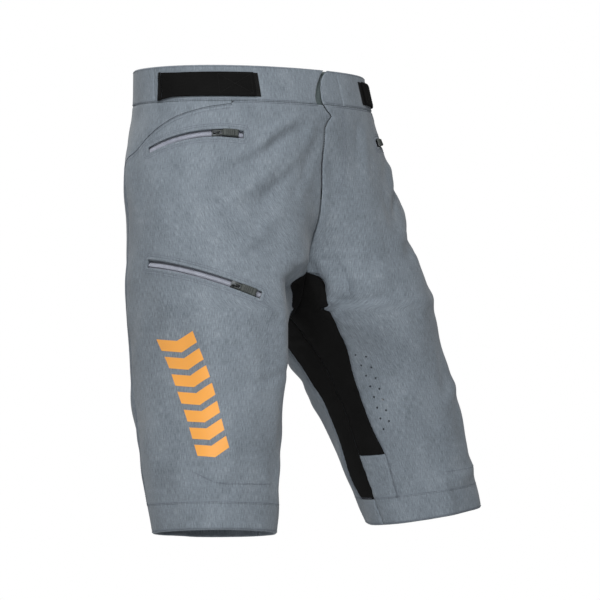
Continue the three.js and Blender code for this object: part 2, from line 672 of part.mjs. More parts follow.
// ---------------------------------------------------------------- fly and front closure
const FLY_TOP = -WAISTBAND_HEIGHT - 8;
const FLY_BOTTOM = FLY_TOP - FLY_ZIP_LENGTH;
const FLY_ZIP_X = FLY_WIDTH / 2 - 8;
const flyHeights = [FLY_TOP, (FLY_TOP + FLY_BOTTOM) / 2, FLY_BOTTOM];
const frontMost = flyHeights.map((z) => shellPoint(shareAt(FLY_ZIP_X), z).y);
const FACING_WALL = 0.8;
const STACK = FLY_ROOM + BAIL_TOP; // the fly zip's tape lies this far behind the facing
const flyTapeY = Math.max(...frontMost) - BEHIND_SHELL + FACING_WALL + STACK;
const flyPath = new StraightPath(
  new THREE.Vector3(FLY_ZIP_X, flyTapeY, FLY_TOP),
  new THREE.Vector3(0, 0, -1),
  new THREE.Vector3(1, 0, 0),
  new THREE.Vector3(0, -1, 0),
);
const facingBetween = [15, 35, 55, 75].map((below) => FLY_TOP - below);
const facingRows = rowsBetween(fixed(-WAISTBAND_HEIGHT - 4), fixed(FLY_BOTTOM - 8), facingBetween);
add(
  "fly_facing",
  panel({
    from: fixed(shareAt(3)),
    to: fixed(shareAt(FLY_WIDTH)),
    rows: facingRows,
    columns: 5,
    outer: BEHIND_SHELL,
    wall: FACING_WALL,
  }),
  LINING_CLOTH,
);
addZip("fly_zip", flyPath, FLY_ZIP_LENGTH, SLIDER_LENGTH / 2 + 4, 1, 1);
const shieldY = flyTapeY + TAPE_WALL + 1;
const shieldLow = [FLY_ZIP_X - FLY_WIDTH / 2, shieldY, FLY_BOTTOM - 10];
const shieldHigh = [FLY_ZIP_X + FLY_WIDTH / 2, shieldY + FABRIC, -WAISTBAND_HEIGHT - 4];
add("fly_shield", block(shieldLow, shieldHigh), UNDERLAP);

const UNDERLAP_OUTER = -WAISTBAND_WALL - 3.2; // room for the snaps between it and the tab
add(
  "front_underlap",
  panel({
    from: fixed(-shareAt(UNDERLAP_SHOWS + 4)),
    to: fixed(shareAt(UNDERLAP_LENGTH - UNDERLAP_SHOWS - 4)),
    rows: bandRows(-2, -WAISTBAND_HEIGHT + 1),
    columns: 4,
    outer: UNDERLAP_OUTER,
    wall: 1.6,
  }),
  UNDERLAP,
);

/** The two halves of a snap, turned round Y: a ring, and a disc with a post that the ring takes. */
function snapSocket() {
  const inner = SNAP_POST_RADIUS + 0.4;
  const profile = [
    [inner, 0],
    [SNAP_RADIUS, 0],
    [SNAP_RADIUS, SNAP_SOCKET_WALL],
    [inner, SNAP_SOCKET_WALL],
    [inner, 0],
  ];
  return new THREE.LatheGeometry(profile.map(([x, y]) => new THREE.Vector2(x, y)), 16);
}
function snapStud() {
  const profile = [
    [0, 0],
    [SNAP_RADIUS, 0],
    [SNAP_RADIUS, SNAP_STUD_BASE],
    [SNAP_POST_RADIUS, SNAP_STUD_BASE],
    [SNAP_POST_RADIUS, SNAP_STUD_BASE + 0.8],
    [0, SNAP_STUD_BASE + 0.8],
  ];
  return new THREE.LatheGeometry(profile.map(([x, y]) => new THREE.Vector2(x, y)), 16);
}
const tabMiddle = shareAt(TAB_LENGTH / 2);
[
  ["upper", 1],
  ["lower", -1],
].forEach(([name, up]) => {
  const z = -WAISTBAND_HEIGHT / 2 + (up * SNAP_SPACING) / 2;
  const out = shellNormal(tabMiddle, z);
  const upright = new THREE.Quaternion().setFromUnitVectors(new THREE.Vector3(0, 1, 0), out);
  const seat = (geometry, depth) => {
    const middle = shellPoint(tabMiddle, z).addScaledVector(out, -depth);
    return geometry.applyQuaternion(upright).translate(middle.x, middle.y, middle.z);
  };
  const socketDepth = WAISTBAND_WALL + 1.5 * LAYER_GAP + SNAP_SOCKET_WALL;
  const studDepth = socketDepth + LAYER_GAP + SNAP_STUD_BASE;
  add(`snap_socket_${name}`, seat(snapSocket(), socketDepth), METAL);
  add(`snap_stud_${name}`, seat(snapStud(), studDepth), METAL);
});

// ---------------------------------------------------------------- pocket zips and bags
for (const [hand, side] of SIDES) {
  const path = hipPaths[hand];
  addZip(`hip_zip_${hand}`, path, path.length, CLOSED_AT, -1, 12);
  const rows = rowsBetween(fixed(drop(70)), fixed(drop(225)), [120, 150, 185].map(drop));
  const at = edges(side, fixed(0.2), fixed(0.46));
  const bag = panel({ ...at, rows, columns: 8, outer: -POCKET_DEPTH, wall: POCKET_CLOTH });
  add(`hip_pocket_bag_${hand}`, bag, POCKETING);
}
addZip("thigh_zip", thighPath, thighPath.length, CLOSED_AT, -1, 12);
const thighRows = rowsBetween(fixed(drop(245)), fixed(drop(400)), [290, 330, 365].map(drop));
const thighAt = edges(-1, fixed(0.29), fixed(0.5));
const thighBag = panel({
  ...thighAt,
  rows: thighRows,
  columns: 8,
  outer: -POCKET_DEPTH,
  wall: POCKET_CLOTH,
});
add("thigh_pocket_bag", thighBag, POCKETING);

export default garment;
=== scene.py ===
# %% [markdown]
# # Knee-length outdoor shell shorts
# The object is a pair of empty shorts that keep the shape of the hips and legs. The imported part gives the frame:
# cloth panels sewn edge to edge, four zips, two snaps and two waist adjusters. Every Blender piece below is built
# on the same surface as the part's panels and rides on one of its bodies.

# %% Load the frame
import math

import bmesh
import bpy
import numpy as np
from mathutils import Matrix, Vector
from mathutils.bvhtree import BVHTree


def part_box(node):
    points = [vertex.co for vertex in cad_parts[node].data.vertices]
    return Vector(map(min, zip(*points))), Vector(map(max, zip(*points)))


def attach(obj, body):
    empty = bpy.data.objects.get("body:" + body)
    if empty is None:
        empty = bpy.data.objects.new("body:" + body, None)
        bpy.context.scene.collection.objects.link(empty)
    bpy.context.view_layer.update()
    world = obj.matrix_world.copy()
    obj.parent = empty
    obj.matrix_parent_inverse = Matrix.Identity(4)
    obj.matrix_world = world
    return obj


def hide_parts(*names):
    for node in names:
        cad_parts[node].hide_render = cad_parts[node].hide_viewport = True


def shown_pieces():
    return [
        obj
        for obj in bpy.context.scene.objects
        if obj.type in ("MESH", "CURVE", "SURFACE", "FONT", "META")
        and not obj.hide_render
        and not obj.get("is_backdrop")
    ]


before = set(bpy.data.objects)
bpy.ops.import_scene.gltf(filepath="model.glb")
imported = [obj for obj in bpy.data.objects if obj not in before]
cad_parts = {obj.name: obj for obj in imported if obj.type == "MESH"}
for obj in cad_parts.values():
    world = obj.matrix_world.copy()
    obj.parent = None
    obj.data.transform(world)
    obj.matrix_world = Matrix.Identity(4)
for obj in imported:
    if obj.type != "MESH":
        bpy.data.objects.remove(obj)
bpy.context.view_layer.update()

MM = 0.001
SIDES = [("right", -1), ("left", 1)]

# %% [markdown]
# ## Camera, light and floor
# A garment like this is shown hanging in plain light. A long lens from some way off keeps the two legs in
# proportion. The key light stands on the wearer's right, so the near leg is brighter than the far one. The pale
# floor lies below the hems and takes only a faint shadow.

# %% Camera
VIEW_AZIMUTH = math.radians(-44)
VIEW_DISTANCE = 3.0
AIM = Vector((0, 0, -0.277))
back = Vector((math.sin(VIEW_AZIMUTH), -math.cos(VIEW_AZIMUTH), 0))
camera_data = bpy.data.cameras.new("camera")
camera_data.lens = 150
camera_data.shift_x = 0.0713
camera_data.shift_y = 0.0093
camera = bpy.data.objects.new("camera", camera_data)
camera.location = AIM + back * VIEW_DISTANCE
camera.rotation_euler = (-back).to_track_quat("-Z", "Y").to_euler()
scene = bpy.context.scene
scene.collection.objects.link(camera)
scene.camera = camera
scene.view_settings.view_transform = "Standard"
print("camera at", [round(x, 3) for x in camera.location])


# %% Lights
def area_light(name, azimuth, elevation, distance, size, power):
    """A square soft light that looks at the middle of the garment."""
    a, e = math.radians(azimuth), math.radians(elevation)
    towards = Vector((math.sin(a) * math.cos(e), -math.cos(a) * math.cos(e), math.sin(e)))
    data = bpy.data.lights.new(name, "AREA")
    data.size = size
    data.energy = power
    light = bpy.data.objects.new(name, data)
    light.location = AIM + towards * distance
    light.rotation_euler = (-towards).to_track_quat("-Z", "Y").to_euler()
    scene.collection.objects.link(light)


area_light("key", -44, 36, 2.6, 1.1, 60)
area_light("front fill", -80, -5, 3.2, 2.0, 6)
area_light("back", 170, 35, 2.6, 1.8, 26)
print("lights", len(bpy.data.lights))


# %% [markdown]
# ## Node trees as Python
# A wire stands for one socket. Python's operators on it add Math nodes, and every other node comes from one
# method that takes its type, its settings and its inputs. Shader trees and Geometry Nodes trees both use it.

# %% Wires and nets
class Wire:
    """One output socket of a tree. Operators on it add Math nodes."""

    def __init__(self, net, socket):
        self.net = net
        self.socket = socket

    def math(self, operation, *others):
        return self.net.add("ShaderNodeMath", {"operation": operation}, dict(enumerate([self, *others])))

    def __add__(self, other):
        return self.math("ADD", other)

    def __mul__(self, other):
        return self.math("MULTIPLY", other)

    def __sub__(self, other):
        return self.math("SUBTRACT", other)

    def __rsub__(self, other):
        return self.net.add("ShaderNodeMath", {"operation": "SUBTRACT"}, {0: other, 1: self})

    def __gt__(self, other):
        return self.math("GREATER_THAN", other)

    def __lt__(self, other):
        return self.math("LESS_THAN", other)

    def sin(self):
        return self.math("SINE")

    def size(self):
        return self.math("ABSOLUTE")

    def fract(self):
        return self.math("FRACT")

    def clamp(self):
        return self.net.add("ShaderNodeClamp", {}, {0: self})


class Net:
    """A node tree that is being built."""

    def __init__(self, tree):
        self.tree = tree

    def add(self, kind, settings=None, values=None, output=0):
        node = self.tree.nodes.new(kind)
        for key, value in (settings or {}).items():
            setattr(node, key, value)
        for key, value in (values or {}).items():
            if isinstance(value, Wire):
                self.tree.links.new(value.socket, node.inputs[key])
            else:
                node.inputs[key].default_value = value
        return Wire(self, node.outputs[output]) if len(node.outputs) else None

    def blend(self, mask, a, b):
        """Colour a where the mask is 0, and b where it is 1."""
        return self.add("ShaderNodeMix", {"data_type": "RGBA"}, {0: mask, 6: a, 7: b}, 2)

    def stretch(self, place, factors):
        return self.add("ShaderNodeVectorMath", {"operation": "MULTIPLY"}, {0: place, 1: factors})

    def split(self, place):
        return [self.add("ShaderNodeSeparateXYZ", {}, {0: place}, axis) for axis in range(3)]

    def noise(self, place, factors, detail=2.0, roughness=0.5):
        values = {"Vector": self.stretch(place, factors), "Scale": 1.0, "Detail": detail, "Roughness": roughness}
        return self.add("ShaderNodeTexNoise", {}, values)


def ramp(mask, low, high):
    """0 below low, 1 above high."""
    return ((mask - low) * (1 / (high - low))).clamp()


# %% World and floor
world = bpy.data.worlds.new("studio")
scene.world = world
world.use_nodes = True
world.node_tree.nodes.clear()
sky = Net(world.node_tree)
seen = sky.add("ShaderNodeLightPath")
strength = seen * 0.8 + 0.2
background = sky.add("ShaderNodeBackground", {}, {"Color": (1, 1, 1, 1), "Strength": strength})
sky.add("ShaderNodeOutputWorld", {}, {"Surface": background})
FLOOR_DROP = 1.0
bpy.ops.mesh.primitive_circle_add(vertices=96, radius=2.8, fill_type="NGON", location=(0, 0, -FLOOR_DROP))
floor = bpy.context.object
floor.name = "floor"
floor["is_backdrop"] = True


# %% [markdown]
# ## Finishes
# Cloth patterns lie on each panel's own UV map, which is measured in metres along the girth and the height, so a
# yarn has the same size on every panel. The shell is a heathered weave: fine vertical slubs, paler and darker than
# the ground, over a plain weave that only the bump carries.

# %% Blank finish
def blank(name, roughness, sheen=0.0, metallic=0.0, coat=0.0, gloss=0.3):
    """A material with one Principled shader; returns it with its net and shader node."""
    material = bpy.data.materials.new(name)
    material.use_nodes = True
    net = Net(material.node_tree)
    shader = next(n for n in material.node_tree.nodes if n.type == "BSDF_PRINCIPLED")
    shader.inputs["Roughness"].default_value = roughness
    shader.inputs["Metallic"].default_value = metallic
    shader.inputs["Sheen Weight"].default_value = sheen
    shader.inputs["Sheen Roughness"].default_value = 0.5
    shader.inputs["Coat Weight"].default_value = coat
    shader.inputs["Specular IOR Level"].default_value = gloss
    return material, net, shader


def drive(net, shader, colour, height, depth, roughness=None):
    """Feeds the shader's colour and its bump, in metres of depth, and its roughness if one is given."""
    bump = net.add("ShaderNodeBump", {}, {"Strength": 1.0, "Distance": depth, "Height": height})
    net.tree.links.new(colour.socket, shader.inputs["Base Color"])
    net.tree.links.new(bump.socket, shader.inputs["Normal"])
    if roughness is not None:
        net.tree.links.new(roughness.socket, shader.inputs["Roughness"])


def on_cloth(net):
    """Metres on the panel."""
    return net.add("ShaderNodeUVMap", {"uv_map": "UVMap"})


def on_piece(net):
    """Metres in the frame."""
    return net.add("ShaderNodeTexCoord", output="Object")


def grey(value):
    return (value, value, value, 1)


# %% Shell cloth
SHELL_DARK = (0.101, 0.121, 0.141, 1)
SHELL_MIDDLE = (0.178, 0.21, 0.243, 1)
SHELL_LIGHT = (0.298, 0.333, 0.364, 1)
PRINT = (0.86, 0.37, 0.062, 1)
WEAVE = 2 * math.pi / 0.0011


def heather(name, printed=False):
    """The shell's heathered weave, with the printed bars if asked."""
    material, net, shader = blank(name, 0.8, sheen=0.12)
    cloth = on_cloth(net)
    u, v, _ = net.split(cloth)
    slub = net.noise(cloth, (1500, 130, 1), 3.0, 0.62)
    pick = net.noise(cloth, (210, 1100, 1), 2.0, 0.5)
    patch = net.noise(cloth, (38, 22, 1), 3.0, 0.55)
    shade = slub * 0.62 + pick * 0.16 + patch * 0.22
    darker = net.blend(ramp(shade, 0.35, 0.52), SHELL_DARK, SHELL_MIDDLE)
    colour = net.blend(ramp(shade, 0.53, 0.70), darker, SHELL_LIGHT)
    weave = (u * WEAVE).sin() * (v * WEAVE).sin()
    height = weave * 0.3 + slub * 1.4
    rough = slub * 0.2 + 0.7
    if printed:
        mask = printed_bars(u, v)
        colour = net.blend(mask * (1 - slub * 0.12), colour, PRINT)
        height = height * (1 - mask * 0.7) + mask * 1.2
        rough = rough * (1 - mask) + mask * 0.55
    drive(net, shader, colour, height, 0.00012, rough)
    return material


GIRTH = 0.425  # metres of cloth that a share of 1 stands for
BAR_TOP = (0.458 * GIRTH, -0.318)
BAR_END = (0.36 * GIRTH, -0.458)
BAR_COUNT = 7
BAR_HALF_WIDTH = 0.0165
BAR_BEND = 0.42
BAR_SHARE = 0.66  # of each bar and the gap after it


def printed_bars(u, v):
    """A row of bars, each bent at its middle, that steps down the thigh: 1 on the print and 0 off it."""
    run = math.dist(BAR_TOP, BAR_END)
    along = ((BAR_END[0] - BAR_TOP[0]) / run, (BAR_END[1] - BAR_TOP[1]) / run)
    down = (u - BAR_TOP[0]) * along[0] + (v - BAR_TOP[1]) * along[1]
    across = (u - BAR_TOP[0]) * -along[1] + (v - BAR_TOP[1]) * along[0]
    bent = down + across.size() * BAR_BEND
    count = bent * (BAR_COUNT / run)
    bar = count.fract() < BAR_SHARE
    inside = (count > 0) * (count < BAR_COUNT)
    return bar * inside * (across.size() < BAR_HALF_WIDTH)


# %% Other cloths
def woven(name, low, high, pitch, depth, roughness, sheen=0.1, ribs=1.0, gloss=0.3):
    """A plain or ribbed cloth: ribs is how much of the crossing yarns shows against the ribs."""
    material, net, shader = blank(name, roughness, sheen=sheen, gloss=gloss)
    cloth = on_cloth(net)
    u, v, _ = net.split(cloth)
    wave = 2 * math.pi / pitch
    yarn = (v * wave).sin() * ((u * wave).sin() * ribs + (1 - ribs))
    fuzz = net.noise(cloth, (700, 700, 1), 3.0, 0.6)
    wear = net.noise(cloth, (40, 40, 1), 2.0, 0.5)
    mask = (fuzz * 0.6 + wear * 0.25 + yarn * 0.08 + 0.07).clamp()
    drive(net, shader, net.blend(ramp(mask, 0.3, 0.65), low, high), yarn * 0.5 + fuzz, depth, fuzz * 0.15 + roughness)
    return material


def open_mesh(name, low, high, pitch):
    """A knitted mesh: dark round openings between paler yarns."""
    material, net, shader = blank(name, 0.85, sheen=0.1)
    cloth = on_cloth(net)
    u, v, _ = net.split(cloth)
    wave = math.pi / pitch
    hole = ((u + v) * wave).sin() * ((u - v) * wave).sin()
    fuzz = net.noise(cloth, (900, 900, 1), 2.0, 0.5)
    mask = ramp(hole.size(), 0.25, 0.6)
    drive(net, shader, net.blend(mask, high, low), fuzz * 0.4 - mask, 0.0003, fuzz * 0.15 + 0.75)
    return material


def fuzzy(name, low, high, scale, depth):
    """Loop or hook tape: a dense field of tiny tufts."""
    material, net, shader = blank(name, 0.95, gloss=0.1)
    place = net.stretch(on_cloth(net), (scale, scale, 1))
    tuft = net.add("ShaderNodeTexVoronoi", {}, {"Vector": place, "Scale": 1.0})
    wear = net.noise(on_cloth(net), (120, 120, 1), 3.0, 0.6)
    mask = (tuft * 0.7 + wear * 0.5).clamp()
    drive(net, shader, net.blend(mask, high, low), 1 - tuft, depth, wear * 0.1 + 0.88)
    return material


# %% Moulded and metal finishes
def moulded(name, low, high, roughness, depth=0.00005, metallic=0.0, coat=0.0, scale=900):
    """A rubber, plastic or painted metal part with a fine grain and a little wear."""
    material, net, shader = blank(name, roughness, metallic=metallic, coat=coat)
    place = on_piece(net)
    grain = net.noise(place, (scale, scale, scale), 2.0, 0.5)
    wear = net.noise(place, (160, 160, 160), 3.0, 0.6)
    mask = ramp(wear * 0.6 + grain * 0.4, 0.35, 0.68)
    drive(net, shader, net.blend(mask, low, high), grain, depth, wear * 0.25 + (roughness - 0.1))
    return material


FINISH = {
    "shell": heather("heathered shell"),
    "printed shell": heather("heathered shell with printed bars", printed=True),
    "stretch": woven("black stretch weave", grey(0.0015), grey(0.0065), 0.0012, 0.0002, 0.8, 0.0, gloss=0.12),
    # The underlap's colour is a dark grey-green cloth made darker still by painted shade: the shade of the recess under
    # the tab where it lies. The fly shield shares this colour.
    "underlap": woven("dark shell darkened with painted recess shade", (0.05, 0.068, 0.07, 1), (0.11, 0.14, 0.142, 1), 0.001, 0.0001, 0.8),
    "lining": open_mesh("lining mesh", (0.05, 0.06, 0.068, 1), (0.14, 0.16, 0.18, 1), 0.0028),
    "pocketing": open_mesh("pocket mesh", (0.07, 0.08, 0.09, 1), (0.2, 0.22, 0.24, 1), 0.002),
    "loop": fuzzy("loop tape", grey(0.004), grey(0.02), 1500, 0.0004),
    "hook": fuzzy("hook tape", grey(0.003), grey(0.016), 800, 0.0005),
    "webbing": woven("adjuster webbing", grey(0.0012), grey(0.006), 0.0016, 0.0002, 0.8, 0.0, 0.25, 0.12),
    "tape": woven("zip tape", (0.24, 0.255, 0.31, 1), (0.36, 0.38, 0.44, 1), 0.0009, 0.0001, 0.8, 0.1, 0.2),
    "label": woven("care label satin", grey(0.6), grey(0.78), 0.0006, 0.00004, 0.5),
    "coil": moulded("zip coil", (0.25, 0.265, 0.32, 1), (0.36, 0.38, 0.44, 1), 0.45),
    "slider": moulded("painted slider", (0.02, 0.022, 0.023, 1), (0.07, 0.075, 0.078, 1), 0.42, 0.00003, 0.9),
    "snap": moulded("snap metal", (0.09, 0.1, 0.105, 1), (0.25, 0.26, 0.27, 1), 0.35, 0.00003, 1.0),
    "pull": moulded("pull rubber", (0.028, 0.033, 0.031, 1), (0.06, 0.068, 0.064, 1), 0.55, 0.00008),
    "silicone": moulded("silicone print", (0.03, 0.036, 0.04, 1), (0.07, 0.078, 0.084, 1), 0.35, 0.00003, coat=0.2),
    "thread": moulded("shell thread", (0.10, 0.115, 0.145, 1), (0.19, 0.21, 0.25, 1), 0.7),
    "dark thread": moulded("black thread", grey(0.002), grey(0.008), 0.8),
    "floor": moulded("pale floor", grey(0.78), grey(0.84), 0.9, 0.0002, scale=30),
}
floor.data.materials.append(FINISH["floor"])
print("finishes", len(FINISH))


# %% [markdown]
# ## The surface that every panel lies on
# The part's panels are bent onto one surface: rings of a rounded section, hung from the waist to the hems. The same
# surface is written here in millimetres. A place on it has a side (+1 is the wearer's left), a share s of the way
# from the centre front (0) to the centre back (1), and a height z.

# %% Rings
def curve(points):
    """A smooth curve through given points (key, value), flat beyond its ends."""
    keys, values = np.array(points, float).T
    spans = np.diff(keys)
    secants = np.diff(values) / spans
    inner = (secants[:-1] * spans[1:] + secants[1:] * spans[:-1]) / (spans[:-1] + spans[1:])
    slopes = np.concatenate([secants[:1], inner, secants[-1:]])

    def at(key):
        key = np.clip(key, keys[0], keys[-1])
        i = np.clip(np.searchsorted(keys, key, side="right") - 1, 0, len(spans) - 1)
        t = (key - keys[i]) / spans[i]
        a = values[i] * (1 + 2 * t) * (1 - t) ** 2 + values[i + 1] * t * t * (3 - 2 * t)
        return a + spans[i] * (slopes[i] * t * (1 - t) ** 2 - slopes[i + 1] * t * t * (1 - t))

    return at


# drop below the waist, centre x, half width, centre y, half depth
LEVELS = [
    (0, 0, 156, 12, 110),
    (42, 0, 160, 6, 116),
    (130, 24, 167, -9, 107),
    (200, 76, 119, -24, 108),
    (280, 103, 103, -45, 112),
    (345, 131, 78, -56, 104),
    (440, 157, 74, -84, 84),
    (533, 171, 68, -110, 68),
]
ring_x, ring_width, ring_y, ring_depth = (curve([(row[0], row[k]) for row in LEVELS]) for k in range(1, 5))
valley = curve([(80, 0), (150, 8), (240, 20), (300, 12), (345, 0)])
tuck = curve([(226, 0), (238, 14), (250, 36), (264, 40), (295, 34), (350, 20), (385, 8), (440, 0)])
HEM = 533
BAND = 42
HEM_FOLD = -503
SHARE_MM = 425  # the same as GIRTH, in mm
SQUARENESS = 2.25
BLEND = 0.6
TILT_START = 250
RISE_OUTER, DIP_FRONT = 0.103, 0.113
INSEAM_WIDTH = 0.25
VALLEY_WIDTH = 34
TUCK_WIDTH = 24
TUCK_FADE = (58, 112)


def rounded(value):
    """Between an ellipse and a squarer section."""
    return BLEND * np.sign(value) * np.abs(value) ** (2 / SQUARENESS) + 0.4 * value


def smooth(value, low, high):
    """0 below low, 1 above high, with no corner in between."""
    t = np.clip((value - low) / (high - low), 0, 1)
    return t * t * (3 - 2 * t)


def shell(side, s, z):
    """Points of the shell's outer face. s may run a little past 0 or 1, onto the other half or round the leg."""
    s, z = np.broadcast_arrays(np.asarray(s, float), np.asarray(z, float))
    down = -z
    width, depth, x0, y0 = ring_width(down), ring_depth(down), ring_x(down), ring_y(down)
    joined = x0 < width
    past = (s < 0) | (s > 1)
    share = np.where(past, np.where(joined, np.where(s < 0, -s, 2 - s), s % 1), s)
    half = np.where(past & joined, -side, side)
    reach = np.where(joined, np.arccos(np.clip(-x0 / width, -1, 1)), np.pi)
    angle = reach * (2 * share - 1)
    cos, sin = np.cos(angle), np.sin(angle)
    x = x0 + width * np.where(cos > 0, rounded(cos), cos)
    y = y0 + depth * rounded(sin)
    off_inseam = 1 - np.exp(-((sin / INSEAM_WIDTH) ** 2))
    dip = valley(down) * off_inseam * np.exp(-((x / VALLEY_WIDTH) ** 2))
    tucked = tuck(down) * off_inseam * (1 - smooth(x, *TUCK_FADE)) * (1 - np.exp(-((x / TUCK_WIDTH) ** 2)))
    y = y + np.where(sin < 0, dip + np.where(half < 0, tucked, 0), 0)
    lean = np.clip((down - TILT_START) / (HEM - TILT_START), 0, 1) ** 1.5
    tilt = lean * ((x - x0) * RISE_OUTER - (y - y0) * DIP_FRONT)
    return np.stack([half * x, y, z + tilt], -1)


def outward(side, s, z):
    """Unit normals of the shell, pointing out."""
    s, z = np.broadcast_arrays(np.asarray(s, float), np.asarray(z, float))
    across = shell(side, s + 0.004, z) - shell(side, s - 0.004, z)
    upward = shell(side, s, z + 2) - shell(side, s, z - 2)
    normal = side * np.cross(across, upward)
    return normal / np.linalg.norm(normal, axis=-1, keepdims=True)


# %% Lengths along the waist
WAIST_STEPS = np.linspace(0, 1, 401)
waist_line = shell(1, WAIST_STEPS, -BAND / 2)
waist_lengths = np.concatenate([[0], np.cumsum(np.linalg.norm(np.diff(waist_line, axis=0), axis=1))])


def share_at(length):
    """The share round the waistband at a length from the centre front."""
    return np.sign(length) * np.interp(np.abs(length), waist_lengths, WAIST_STEPS)


ROOT = 0.465
root_length = float(np.interp(ROOT, WAIST_STEPS, waist_lengths))
print("half waist", round(waist_lengths[-1]), "mm")


# %% [markdown]
# ## Zip paths
# Each pocket zip follows an exact round arc, because its slider turns about the arc's axis. The arc is found from
# three points of the surface, sunk 4.8 mm so that the slider runs below the cloth.

# %% Zip paths
TAPE_SINK = 4.8


class RoundPath:
    """The circle through three points, with its own directions along, across and out."""

    def __init__(self, side, points):
        s, drops = np.array(points).T
        normals = outward(side, s, -drops)
        first, middle, last = shell(side, s, -drops) - normals * TAPE_SINK
        normal = np.cross(middle - first, last - first)
        centre = np.cross(normal, middle - first) * np.dot(last - first, last - first)
        centre += np.cross(last - first, normal) * np.dot(middle - first, middle - first)
        centre /= 2 * np.dot(normal, normal)
        self.centre = first + centre
        self.radius = np.linalg.norm(centre)
        self.axis = normal / np.linalg.norm(normal)
        self.radial = (first - self.centre) / self.radius
        self.turned = np.cross(self.axis, self.radial)
        end = last - self.centre
        self.length = math.atan2(end @ self.turned, end @ self.radial) * self.radius
        spoke = (middle - self.centre) / np.linalg.norm(middle - self.centre)
        self.lean = math.atan2(normals[1] @ self.axis, normals[1] @ spoke)

    def axes(self, distance):
        """Out and across at each distance."""
        angle = np.asarray(distance, float)[..., None] / self.radius
        spoke = self.radial * np.cos(angle) + self.turned * np.sin(angle)
        out = spoke * math.cos(self.lean) + self.axis * math.sin(self.lean)
        across = self.axis * math.cos(self.lean) - spoke * math.sin(self.lean)
        return spoke, out, across

    def point(self, distance, across, out):
        spoke, outwards, sideways = self.axes(distance)
        across, out = np.asarray(across, float)[..., None], np.asarray(out, float)[..., None]
        return self.centre + spoke * self.radius + outwards * out + sideways * across


HIP_ZIP = [(0.205, 83), (0.35, 82), (0.5, 100)]
THIGH_ZIP = [(0.27, 266), (0.39, 241), (0.515, 230)]
ZIPS = {
    "hip_zip_right": (RoundPath(-1, HIP_ZIP), -1),
    "hip_zip_left": (RoundPath(1, HIP_ZIP), 1),
    "thigh_zip": (RoundPath(-1, THIGH_ZIP), -1),
}
print("zip lengths", {name: round(path.length, 1) for name, (path, _) in ZIPS.items()})


# %% [markdown]
# ## Folds
# Worn shell cloth has long soft folds where it is pulled: across the hip from the fly, under the seat, and round the
# crotch. Each fold here is a line drawn on the surface with a height and a width. They are added as one field of
# heights that every panel, stitch and seam reads, so nothing comes apart at a seam. The cloth stays flat round the
# zips and the waistband, where tape and lining stiffen it.

# %% Fold lines
KNEE_LINE = [(0.426, -468), (0.395, -475), (0.371, -481), (0.336, -483), (0.204, -482)]
